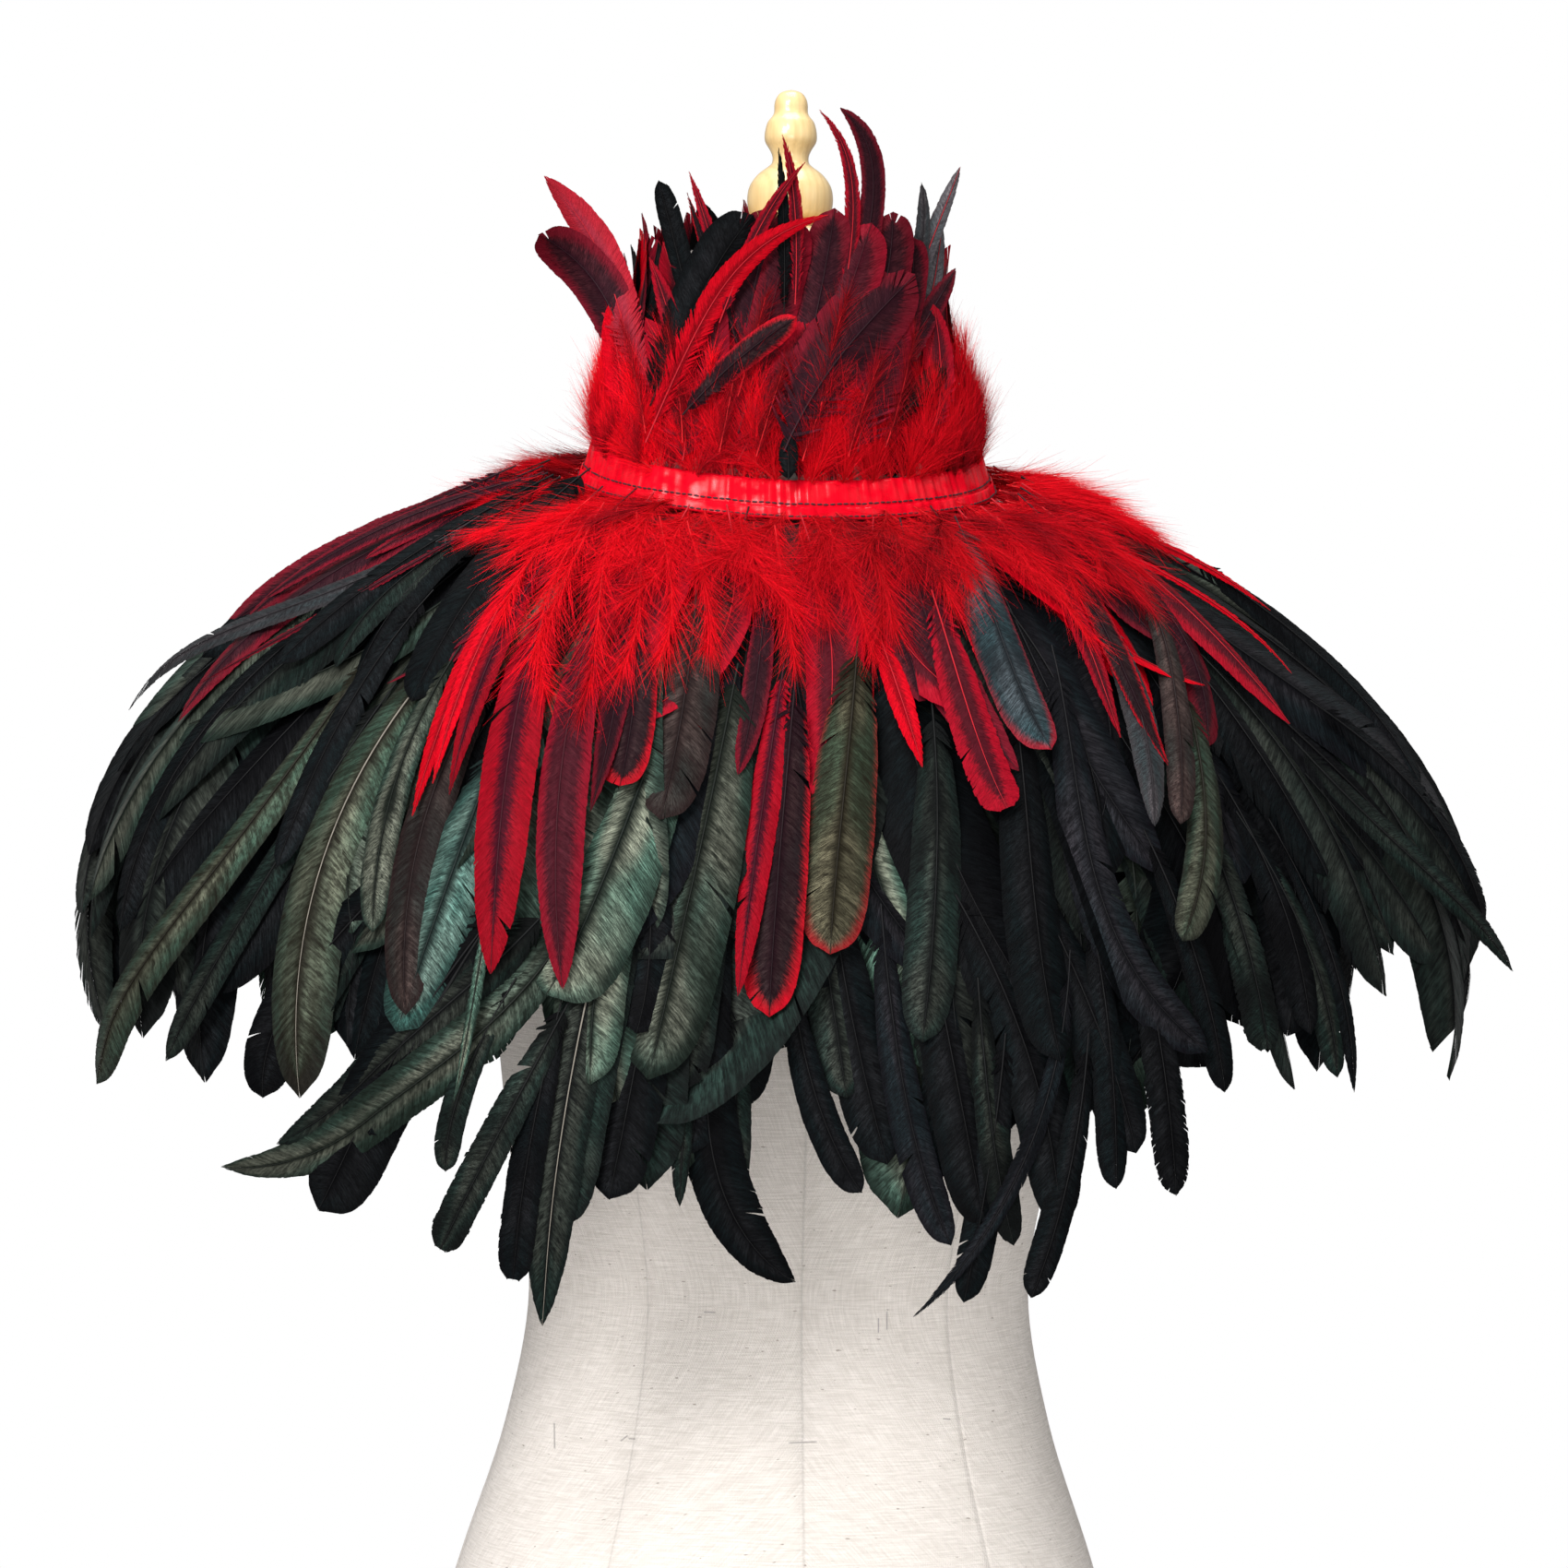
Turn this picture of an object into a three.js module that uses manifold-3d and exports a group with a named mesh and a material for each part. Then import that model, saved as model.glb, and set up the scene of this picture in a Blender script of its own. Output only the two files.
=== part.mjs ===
// Feather cape with a standing feather collar, worn on a limbless dress form.
// Millimetres, +Z up. The origin is the centre of the form's underside, and the front faces -Y.
// Azimuth is 0 at the centre front and grows towards +X, so 180 is the centre back, where the cape opens.
import * as THREE from "three";
import { mergeVertices } from "three/addons/utils/BufferGeometryUtils.js";
import Module from "manifold-3d";

const wasm = await Module();
wasm.setup();

// Driving dimensions
const SEAM_GAP = 0.3; // between pieces that touch on the real garment
const DEGREE = Math.PI / 180;
const NECKLINE = { halfWidth: 90, halfDepth: 69, sideHeight: 604.4, frontDrop: 18.5 };
const BACK_SLIT = 1.4; // half the angle of the centre back opening
const COLUMNS = 32; // facets round the yoke and its tapes
const RINGS = [40, 80, 120, 180, 240, 300]; // lengths along the cape at which every layer bends
const YOKE = { lengths: [-2, 19, 40, 80], thickness: 1.2, ease: 0.15 };
const FORM = { sides: 32, squareness: 2.25, baseThickness: 12, capThickness: 10 };
const BAND = { height: 19, thickness: 1.6, lean: 0.3, gathers: 32, gatherDepth: 0.5, clearance: 1.4 };
const BINDING = { height: 6, thickness: 0.9 };
const UNDER_LAYER = {
  feathers: 24, start: 73, lift: 0.7, thickness: 1.4, crown: 1.2, notch: 46, hemShare: 0.765,
};
const BLADE = { thickness: 1, crown: 0.03, rootWidth: 5, tipWidth: 2.4, tipLength: 24 };
const STRIP = { width: 5, thickness: 1.5 };
const COLLAR_STRIP = { width: 6, thickness: 1.4, height: 8 };
const HEM_CROWDING = 5.3; // degrees by which feathers are moved to be evenly spaced along the hem

// How the cape falls, by azimuth: the slope below the horizontal at the neckline and where it is
// steepest, the length along the cape at which that is reached, how late the bend comes, and the
// length from the neckline to the lowest feather tips.
const DRAPE = [
  { azimuth: 0, slopeStart: 46, slopeEnd: 97, reach: 370, power: 1.0, hem: 370 },
  { azimuth: 45, slopeStart: 38, slopeEnd: 96, reach: 352, power: 1.4, hem: 348 },
  { azimuth: 90, slopeStart: 27, slopeEnd: 93, reach: 342, power: 2.6, hem: 360 },
  { azimuth: 135, slopeStart: 31, slopeEnd: 95, reach: 345, power: 1.6, hem: 366 },
  { azimuth: 180, slopeStart: 34, slopeEnd: 97, reach: 360, power: 1.2, hem: 366 },
  { azimuth: 225, slopeStart: 25, slopeEnd: 96, reach: 350, power: 1.6, hem: 368 },
  { azimuth: 270, slopeStart: 22, slopeEnd: 95, reach: 328, power: 2.2, hem: 380 },
  { azimuth: 315, slopeStart: 32, slopeEnd: 96, reach: 352, power: 1.4, hem: 366 },
];

// The strung rows of the cape, from the lowest to the uppermost. Start is the tape's place and rise
// the place where its feathers have risen onto the row below, both as lengths along the cape. Lift is
// how far they stand off the yoke, and hemShare their end as a share of the hem length. Their tips
// turn out by flare, or in where it is negative.
const CAPE_ROWS = [
  {
    node: "fringe_long_under", tone: "black", count: 28, width: 37, start: 60, rise: 80, lift: 6.5,
    hemShare: 1.0, spread: 0.05, curl: 5, flare: -9,
  },
  {
    node: "fringe_long_upper", tone: "black", count: 26, width: 37, start: 46, rise: 80, lift: 10,
    hemShare: 0.93, spread: 0.06, curl: 6, flare: 7,
  },
  {
    node: "fringe_middle", tone: "bronze", count: 25, width: 36, start: 32, rise: 60, lift: 13.5,
    hemShare: 0.74, spread: 0.09, curl: 6, flare: 0,
  },
  {
    node: "fringe_short", tone: "crimson", count: 23, width: 28, start: 16, rise: 40, lift: 17,
    hemShare: 0.57, spread: 0.16, curl: 8, flare: 0,
  },
  {
    node: "fringe_down", tone: "scarlet", count: 21, width: 27, start: 1, rise: 40, lift: 20.5,
    hemShare: 0.34, spread: 0.12, curl: 6, flare: 3,
  },
];

// The two strung rows of the collar. Inset is the tape's distance inside the neck band, lean the
// angle from the vertical at the root, and flare the angle by which the tip turns out. Every second
// feather stands further in or out by stagger.
const COLLAR_ROWS = [
  {
    node: "collar_fringe_inner", tone: "crimson", count: 17, width: 21, inset: 4.6, height: 130,
    spread: 0.26, lean: -14, flare: 24, curl: 7, stagger: -3,
  },
  {
    node: "collar_fringe_outer", tone: "scarlet", count: 18, width: 22, inset: 2.8, height: 112,
    spread: 0.3, lean: -12, flare: 30, curl: 8, stagger: 3,
  },
];

// Feathers that stand out in the outline: the feather's number in its row, how much longer it is than
// the row's own, the sideways curl at its tip in mm, and how much further the tip flares.
const STANDOUTS = [
  { node: "fringe_long_under", feather: 11, longer: 22, curl: -20, flare: 0 },
  { node: "fringe_long_under", feather: 14, longer: -38, curl: -8, flare: 9 },
  { node: "fringe_long_under", feather: 16, longer: 4, curl: -14, flare: 0 },
  { node: "fringe_long_upper", feather: 10, longer: 26, curl: -30, flare: 12 },
  { node: "fringe_long_upper", feather: 14, longer: 26, curl: -24, flare: 8 },
  { node: "fringe_long_upper", feather: 19, longer: 16, curl: 12, flare: 30 },
  { node: "collar_fringe_inner", feather: 9, longer: 44, curl: 4, flare: -4 },
  { node: "collar_fringe_inner", feather: 12, longer: 8, curl: 2, flare: 5 },
  { node: "collar_fringe_outer", feather: 4, longer: 30, curl: -10, flare: 32 },
  { node: "collar_fringe_outer", feather: 5, longer: 10, curl: -12, flare: 36 },
];

// The dress form's outline from the hip to the neck: half width, and depth before and behind the axis.
const FORM_SECTIONS = [
  { height: 0, halfWidth: 158, front: 104, back: 122 },
  { height: 45, halfWidth: 161, front: 107, back: 125 },
  { height: 98, halfWidth: 146, front: 103, back: 116 },
  { height: 163, halfWidth: 125, front: 93, back: 97 },
  { height: 223, halfWidth: 115, front: 84, back: 84 },
  { height: 290, halfWidth: 125, front: 91, back: 89 },
  { height: 365, halfWidth: 134, front: 103, back: 97 },
  { height: 425, halfWidth: 146, front: 121, back: 103 },
  { height: 475, halfWidth: 156, front: 114, back: 106 },
  { height: 518, halfWidth: 158, front: 94, back: 101 },
  { height: 541, halfWidth: 150, front: 80, back: 92 },
  { height: 559, halfWidth: 130, front: 68, back: 82 },
  { height: 574, halfWidth: 104, front: 58, back: 71 },
  { height: 587, halfWidth: 82, front: 51, back: 62 },
  { height: 603, halfWidth: 62, front: 45, back: 52 },
  { height: 626, halfWidth: 52, front: 41, back: 45 },
  { height: 699, halfWidth: 49, front: 39, back: 42 },
];

// A feather's width along its length, as shares: a bare quill, a vane that widens, and a round tip.
const VANE = [
  { share: 0, width: 0 },
  { share: 0.2, width: 0.42 },
  { share: 0.5, width: 0.86 },
  { share: 0.78, width: 1 },
  { share: 0.93, width: 0.74 },
  { share: 1, width: 0 },
];

function material(color, roughness, metalness = 0) {
  return new THREE.MeshStandardMaterial({ color, roughness, metalness, side: THREE.DoubleSide });
}

const satin = material(0xd21a2a, 0.3);
const linen = material(0xe4dcd2, 0.9);
const blackCotton = material(0x151515, 0.9);
const pine = material(0xe8c98c, 0.45);
const plume = {
  black: material(0x16191a, 0.5, 0.1),
  bronze: material(0x23302a, 0.5, 0.1),
  crimson: material(0x7d0a16, 0.6),
  scarlet: material(0xd4101c, 0.7),
};

// A repeatable number from 0 to 1 for each whole number.
function chance(n) {
  const wave = Math.sin(n * 12.9898 + 4.1414) * 43758.5453;
  return wave - Math.floor(wave);
}

function smooth(x) {
  const t = Math.min(1, Math.max(0, x));
  return t * t * (3 - 2 * t);
}

function range(from, to, count) {
  return Array.from({ length: count + 1 }, (_, i) => from + ((to - from) * i) / count);
}

// The drape at any azimuth, eased between the rows of the table.
function drapeAt(azimuth) {
  const step = 360 / DRAPE.length;
  const turn = (((azimuth % 360) + 360) % 360) / step;
  const low = DRAPE[Math.floor(turn) % DRAPE.length];
  const high = DRAPE[(Math.floor(turn) + 1) % DRAPE.length];
  const share = smooth(turn - Math.floor(turn));
  const between = (key) => low[key] + (high[key] - low[key]) * share;
  const keys = ["slopeStart", "slopeEnd", "reach", "power", "hem"];
  return Object.fromEntries(keys.map((key) => [key, between(key)]));
}

// The slope of the cape, in radians below the horizontal, at a length from the neckline.
function slopeAt(drape, length) {
  const share = Math.min(1.05, Math.max(0, length / drape.reach));
  return (drape.slopeStart + (drape.slopeEnd - drape.slopeStart) * share ** drape.power) * DEGREE;
}

// The unit vector that points away from the axis.
function outwardsAt(azimuth) {
  return new THREE.Vector3(Math.sin(azimuth * DEGREE), -Math.cos(azimuth * DEGREE), 0);
}

// A point of the cape: azimuth in degrees, length from the neckline, and distance off the yoke.
function capePoint(azimuth, length, off) {
  const drape = drapeAt(azimuth);
  const steps = Math.max(1, Math.ceil(Math.abs(length) / 12));
  let run = 0;
  let fall = 0;
  for (let i = 0; i < steps; i++) {
    const slope = slopeAt(drape, ((i + 0.5) / steps) * length);
    run += (Math.cos(slope) * length) / steps;
    fall += (Math.sin(slope) * length) / steps;
  }
  const slope = slopeAt(drape, length);
  const out = run + Math.sin(slope) * off;
  const across = outwardsAt(azimuth);
  return new THREE.Vector3(
    (NECKLINE.halfWidth + out) * across.x,
    (NECKLINE.halfDepth + out) * across.y,
    NECKLINE.sideHeight + NECKLINE.frontDrop * across.y - fall + Math.cos(slope) * off,
  );
}

// A point on the straight between two rings, which keeps layers of different lengths nested.
function chordPoint(azimuth, length, off) {
  const next = RINGS.findIndex((ring) => ring >= length);
  const share = (length - RINGS[next - 1]) / (RINGS[next] - RINGS[next - 1]);
  return capePoint(azimuth, RINGS[next - 1], off).lerp(capePoint(azimuth, RINGS[next], off), share);
}

// The azimuth that lies a sideways distance from another one, at a length along the cape.
function shiftAzimuth(azimuth, length, sideways) {
  const ahead = capePoint(azimuth + 0.5, length, 0);
  return azimuth + sideways / ahead.distanceTo(capePoint(azimuth - 0.5, length, 0));
}

// An azimuth moved so that even steps become evenly spaced along the hem.
function spaced(even) {
  return even + HEM_CROWDING * Math.sin(2 * even * DEGREE);
}

// The azimuths of a row's feathers, which leave the centre back free.
function featherAzimuths(count) {
  return Array.from({ length: count }, (_, i) => spaced(-180 + ((i + 0.5) * 360) / count));
}

// The azimuths of the facets of everything that runs round the neck and opens at the centre back.
const FACETS = range(BACK_SLIT - 180, 180 - BACK_SLIT, COLUMNS);

// A point on the flat of a facet, between the points that pointAt gives for the facet's two sides.
function onFacet(azimuth, pointAt) {
  const turn = ((azimuth - FACETS[0]) / (FACETS[COLUMNS] - FACETS[0])) * COLUMNS;
  const side = Math.min(COLUMNS - 1, Math.max(0, Math.floor(turn)));
  return pointAt(FACETS[side]).lerp(pointAt(FACETS[side + 1]), turn - side);
}

function geometryOf(points, triangles) {
  const geometry = new THREE.BufferGeometry();
  const numbers = points.flatMap((point) => [point.x, point.y, point.z]);
  geometry.setAttribute("position", new THREE.Float32BufferAttribute(numbers, 3));
  geometry.setIndex(triangles);
  return geometry;
}

// A closed tube through loops of points. The quads of its two halves are split along mirrored
// diagonals, so that a thin, twisted tube keeps its thickness.
function tube(loops) {
  const sides = loops[0].length;
  const triangles = [];
  for (let i = 0; i + 1 < loops.length; i++)
    for (let j = 0; j < sides; j++) {
      const a = i * sides + j;
      const b = i * sides + ((j + 1) % sides);
      if (j < sides / 2) triangles.push(a, b, a + sides, b, b + sides, a + sides);
      else triangles.push(a, b, b + sides, a, b + sides, a + sides);
    }
  const last = (loops.length - 1) * sides;
  for (let j = 1; j + 1 < sides; j++) triangles.push(0, j + 1, j, last, last + j, last + j + 1);
  return geometryOf(loops.flat(), triangles);
}

// A closed wall between two grids of points, outer[column][row] and inner[column][row].
function wall(outer, inner) {
  const columns = outer.length;
  const rows = outer[0].length;
  const at = (side, i, k) => side * columns * rows + i * rows + k;
  const triangles = [];
  const face = (a, b, c, d) => triangles.push(a, b, c, a, c, d);
  for (let i = 0; i + 1 < columns; i++) {
    for (let k = 0; k + 1 < rows; k++) {
      face(at(0, i, k), at(0, i, k + 1), at(0, i + 1, k + 1), at(0, i + 1, k));
      face(at(1, i, k), at(1, i + 1, k), at(1, i + 1, k + 1), at(1, i, k + 1));
    }
    face(at(0, i, 0), at(0, i + 1, 0), at(1, i + 1, 0), at(1, i, 0));
    face(at(0, i, rows - 1), at(1, i, rows - 1), at(1, i + 1, rows - 1), at(0, i + 1, rows - 1));
  }
  for (let k = 0; k + 1 < rows; k++) {
    face(at(0, 0, k), at(1, 0, k), at(1, 0, k + 1), at(0, 0, k + 1));
    face(at(0, columns - 1, k), at(0, columns - 1, k + 1), at(1, columns - 1, k + 1), at(1, columns - 1, k));
  }
  return geometryOf([...outer.flat(), ...inner.flat()], triangles);
}

// A solid with its faces pointing out, whichever way its points were wound.
function solidOf(geometry) {
  const merged = mergeVertices(geometry, 1e-4);
  const triVerts = new Uint32Array(merged.index.array);
  const vertProperties = merged.attributes.position.array;
  const made = new wasm.Manifold(new wasm.Mesh({ numProp: 3, vertProperties, triVerts }));
  if (made.volume() > 0) return made;
  for (let i = 0; i < triVerts.length; i += 3) triVerts.subarray(i, i + 3).reverse();
  return new wasm.Manifold(new wasm.Mesh({ numProp: 3, vertProperties, triVerts }));
}

function geometryFrom(solid) {
  const mesh = solid.getMesh();
  const points = [];
  for (let i = 0; i < mesh.numVert; i++)
    points.push(new THREE.Vector3().fromArray(mesh.vertProperties, i * mesh.numProp));
  return geometryOf(points, Array.from(mesh.triVerts));
}

// The width of a feather at a share of its length.
function vaneWidth(share, full) {
  const next = Math.max(1, VANE.findIndex((station) => station.share >= share));
  const low = VANE[next - 1];
  const high = VANE[next];
  const between = (share - low.share) / (high.share - low.share);
  const width = full * (low.width + (high.width - low.width) * between);
  return Math.max(width, share < 0.5 ? BLADE.rootWidth : BLADE.tipWidth);
}

function standoutOf(node, feather) {
  const found = STANDOUTS.find((row) => row.node === node && row.feather === feather);
  return found ?? { longer: 0, curl: 0, flare: 0 };
}

// One feather as a thin four-sided blade with a raised shaft line. A section is a length along it,
// and at(length, sideways, off) gives its points.
function blade(lengths, full, at) {
  const root = lengths[0];
  const tip = lengths[lengths.length - 1];
  const loops = lengths.map((length) => {
    const width = vaneWidth((length - root) / (tip - root), full);
    const crown = width * BLADE.crown;
    return [
      at(length, -width / 2, -crown),
      at(length, 0, -BLADE.thickness / 2),
      at(length, width / 2, -crown),
      at(length, 0, BLADE.thickness / 2),
    ];
  });
  return solidOf(tube(loops));
}

// The tape that a row of feathers is strung on, lying on the yoke.
function capeTape(row) {
  const loops = FACETS.map((azimuth) => [
    capePoint(azimuth, row.start, 0),
    capePoint(azimuth, row.start + STRIP.width, 0),
    capePoint(azimuth, row.start + STRIP.width, STRIP.thickness),
    capePoint(azimuth, row.start, STRIP.thickness),
  ]);
  return solidOf(tube(loops));
}

function capeBlade(row, azimuth, feather) {
  const seed = row.start * 31 + feather * 7;
  const stand = standoutOf(row.node, feather);
  const root = row.start + STRIP.width / 2;
  const tip = drapeAt(azimuth).hem * (row.hemShare + row.spread * (chance(seed) - 0.5)) + stand.longer;
  const shoulder = tip - BLADE.tipLength;
  const bends = RINGS.filter((ring) => ring > row.rise && ring < shoulder - 12);
  const curl = row.curl * (2 * chance(seed + 1) - 1) + stand.curl;
  return blade([root, row.rise, ...bends, shoulder, tip], row.width, (length, sideways, off) => {
    const share = (length - root) / (tip - root);
    const middle = shiftAzimuth(azimuth, length, curl * share ** 2);
    const place = shiftAzimuth(middle, length, sideways);
    if (length === root) return onFacet(place, (side) => capePoint(side, root, STRIP.thickness / 2 + off));
    const lift = row.lift + (row.flare + stand.flare) * smooth((share - 0.8) / 0.2);
    return capePoint(place, length, lift + off);
  });
}

function capeRow(row) {
  const blades = featherAzimuths(row.count).map((azimuth, i) => capeBlade(row, azimuth, i));
  return geometryFrom(blades.reduce((sum, one) => sum.add(one), capeTape(row)));
}

// The yoke: the cloth cone that the strung rows are sewn to, lying on the shoulders.
function yoke() {
  const column = (azimuth, off) => YOKE.lengths.map((length) => capePoint(azimuth, length, off));
  const grid = (off) => FACETS.map((azimuth) => column(azimuth, off));
  const outer = -SEAM_GAP - YOKE.ease;
  return wall(grid(outer), grid(outer - YOKE.thickness));
}

// The lowest layer of long feathers, which overlap into one closed wall with parted tips.
function underLayer(side) {
  const perFeather = 3;
  const columns = (UNDER_LAYER.feathers / 2) * perFeather;
  const slit = BACK_SLIT / 180;
  const grid = (off) =>
    range(0, columns, columns).map((i) => {
      const even = side * 180 * Math.min(1 - slit, Math.max(slit, i / columns));
      const azimuth = spaced(even);
      const crest = i % perFeather === 0 ? 0 : 1;
      const hem = drapeAt(azimuth).hem * UNDER_LAYER.hemShare - (1 - crest) * UNDER_LAYER.notch;
      const [first, second, third] = RINGS.filter((ring) => ring > UNDER_LAYER.start + 12);
      const last = third < hem - 12 ? third : (second + hem) / 2;
      return [UNDER_LAYER.start, first, second, last, hem].map((length, k) => {
        const crown = UNDER_LAYER.crown * crest * Math.min(1, k);
        const pointAt = k < 3 ? capePoint : chordPoint;
        return pointAt(azimuth, length, UNDER_LAYER.lift + crown + off);
      });
    });
  return wall(grid(UNDER_LAYER.thickness), grid(0));
}

// A point of the neck band: height up the band, and distance outside its middle face.
function bandPoint(azimuth, height, out) {
  const foot = capePoint(azimuth, 4, STRIP.thickness + BAND.clearance);
  const length = Math.hypot(1, BAND.lean);
  foot.addScaledVector(outwardsAt(azimuth), (-BAND.lean * height + out) / length);
  return foot.setZ(foot.z + (height + BAND.lean * out) / length);
}

// A ribbon round the neck with small gathers, between two heights up the band.
function ribbon(low, high, out, thickness, facets) {
  const grid = (side) =>
    facets.map((azimuth) => {
      const gather = BAND.gatherDepth * Math.cos(azimuth * DEGREE * BAND.gathers);
      return [low, high].map((height) => bandPoint(azimuth, height, out + gather + side * thickness));
    });
  return wall(grid(0.5), grid(-0.5));
}

const BAND_FACETS = range(BACK_SLIT - 180, 180 - BACK_SLIT, BAND.gathers * 2);
const OUTSIDE_BAND = (BAND.thickness + BINDING.thickness) / 2 + SEAM_GAP;

function neckBand() {
  return ribbon(0, BAND.height, 0, BAND.thickness, BAND_FACETS);
}

function bandBinding() {
  return ribbon(0, BINDING.height, OUTSIDE_BAND, BINDING.thickness, BAND_FACETS);
}

// The end of the ribbon, lapped over the centre back opening to close the band.
function closingLap() {
  const low = BINDING.height + 1;
  return ribbon(low, BAND.height - 1, OUTSIDE_BAND + SEAM_GAP, BINDING.thickness, range(168, 190, 8));
}

// How far the neck band leans in, in degrees from the vertical.
const BAND_LEAN = -Math.atan(BAND.lean) / DEGREE;

// The lean of a collar feather at a length from its root: along the band, then its own, then the flare.
function collarLean(row, length, extraFlare) {
  const free = length - COLLAR_STRIP.height;
  const own = (row.lean - BAND_LEAN) * smooth(free / 40);
  return (BAND_LEAN + own + (row.flare + extraFlare) * smooth((free - 30) / 100)) * DEGREE;
}

// A point of the collar: length up the feather, and distance outside the row's own face.
function collarPoint(row, azimuth, along, off, extraFlare) {
  const foot = bandPoint(azimuth, COLLAR_STRIP.height + COLLAR_STRIP.width / 2, -row.inset);
  const steps = Math.max(1, Math.ceil(along / 8));
  let out = 0;
  let up = 0;
  for (let i = 0; i < steps; i++) {
    const angle = collarLean(row, ((i + 0.5) / steps) * along, extraFlare);
    out += (Math.sin(angle) * along) / steps;
    up += (Math.cos(angle) * along) / steps;
  }
  const tilt = collarLean(row, along, extraFlare);
  foot.addScaledVector(outwardsAt(azimuth), out + Math.cos(tilt) * off);
  return foot.setZ(foot.z + up - Math.sin(tilt) * off);
}

function collarTape(row) {
  const face = (azimuth, height, off) => bandPoint(azimuth, COLLAR_STRIP.height + height, off - row.inset);
  const half = COLLAR_STRIP.thickness / 2;
  const loops = FACETS.map((azimuth) => [
    face(azimuth, 0, -half),
    face(azimuth, COLLAR_STRIP.width, -half),
    face(azimuth, COLLAR_STRIP.width, half),
    face(azimuth, 0, half),
  ]);
  return solidOf(tube(loops));
}

function collarBlade(row, azimuth, feather) {
  const seed = 900 + row.count * 13 + feather * 7;
  const stand = standoutOf(row.node, feather);
  const tip = row.height * (1 + row.spread * (chance(seed) - 0.5)) + stand.longer;
  const curl = row.curl * (2 * chance(seed + 1) - 1) + stand.curl;
  const lengths = [0, COLLAR_STRIP.height, 0.35 * tip, 0.62 * tip, 0.86 * tip, tip];
  return blade(lengths, row.width, (length, sideways, off) => {
    const aside = curl * (length / tip) ** 2 + sideways;
    const ahead = collarPoint(row, azimuth + 0.5, length, 0, 0);
    const perDegree = ahead.distanceTo(collarPoint(row, azimuth - 0.5, length, 0, 0));
    const away = off + (feather % 2) * row.stagger * smooth(length / 30);
    const pointAt = (place) => collarPoint(row, place, length, away, stand.flare);
    const place = azimuth + aside / perDegree;
    return length > COLLAR_STRIP.height ? pointAt(place) : onFacet(place, pointAt);
  });
}

function collarRow(row) {
  const blades = featherAzimuths(row.count).map((azimuth, i) => collarBlade(row, azimuth, i));
  return geometryFrom(blades.reduce((sum, one) => sum.add(one), collarTape(row)));
}

// A level ring of the dress form, squarish, with its own depth before and behind.
function formRing(section, inset, height) {
  const bend = (value) => Math.sign(value) * Math.abs(value) ** (2 / FORM.squareness);
  return range(0, 2 * Math.PI, FORM.sides).slice(1).map((angle) => {
    const depth = Math.cos(angle) > 0 ? section.front : section.back;
    const x = (section.halfWidth - inset) * bend(Math.sin(angle));
    return new THREE.Vector3(x, -(depth - inset) * bend(Math.cos(angle)), height);
  });
}

const TORSO_FOOT = FORM.baseThickness + SEAM_GAP;
const TORSO_TOP = TORSO_FOOT + FORM_SECTIONS[FORM_SECTIONS.length - 1].height;
const CAP_FOOT = TORSO_TOP + SEAM_GAP;
const FINIAL_FOOT = CAP_FOOT + FORM.capThickness + SEAM_GAP;

function formTorso() {
  return tube(FORM_SECTIONS.map((section) => formRing(section, 0, section.height + TORSO_FOOT)));
}

function formBase() {
  const foot = FORM_SECTIONS[0];
  return tube([formRing(foot, 3, 0), formRing(foot, 2, 2), formRing(foot, 2, FORM.baseThickness)]);
}

// Turned wood: a profile of radius and height above its foot, closed on the axis.
function turned(profile, foot, segments) {
  const points = profile.map(({ radius, height }) => new THREE.Vector2(radius, foot + height));
  const geometry = new THREE.LatheGeometry(points, segments);
  geometry.deleteAttribute("normal");
  geometry.deleteAttribute("uv");
  return geometry.rotateX(Math.PI / 2);
}

const CAP_PROFILE = [
  { radius: 0, height: 0 },
  { radius: 36, height: 0 },
  { radius: 38, height: 2 },
  { radius: 38, height: 6 },
  { radius: 36, height: 9 },
  { radius: 32, height: 10 },
  { radius: 0, height: 10 },
];

// From below: the foot, the bell, the waist, the ball with its groove, and the round peg.
const FINIAL_PROFILE = [
  { radius: 0, height: 0 },
  { radius: 13, height: 0 },
  { radius: 13.5, height: 2 },
  { radius: 12, height: 3.5 },
  { radius: 17.6, height: 7 },
  { radius: 19.3, height: 11 },
  { radius: 19.8, height: 16.5 },
  { radius: 18.6, height: 22 },
  { radius: 15, height: 27 },
  { radius: 10.5, height: 30.5 },
  { radius: 8.6, height: 32.5 },
  { radius: 8.4, height: 35.5 },
  { radius: 9.6, height: 38.5 },
  { radius: 11.7, height: 42 },
  { radius: 12.1, height: 45 },
  { radius: 11.6, height: 48.5 },
  { radius: 10.6, height: 51.5 },
  { radius: 8.6, height: 54 },
  { radius: 7.8, height: 56 },
  { radius: 7.7, height: 59.5 },
  { radius: 6.8, height: 62.5 },
  { radius: 4.6, height: 65 },
  { radius: 0, height: 66.3 },
];

const part = new THREE.Group();
part.name = "feather_cape_on_dress_form";

function place(name, geometry, finish) {
  const mesh = new THREE.Mesh(geometry, finish);
  mesh.name = name;
  part.add(mesh);
}

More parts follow.
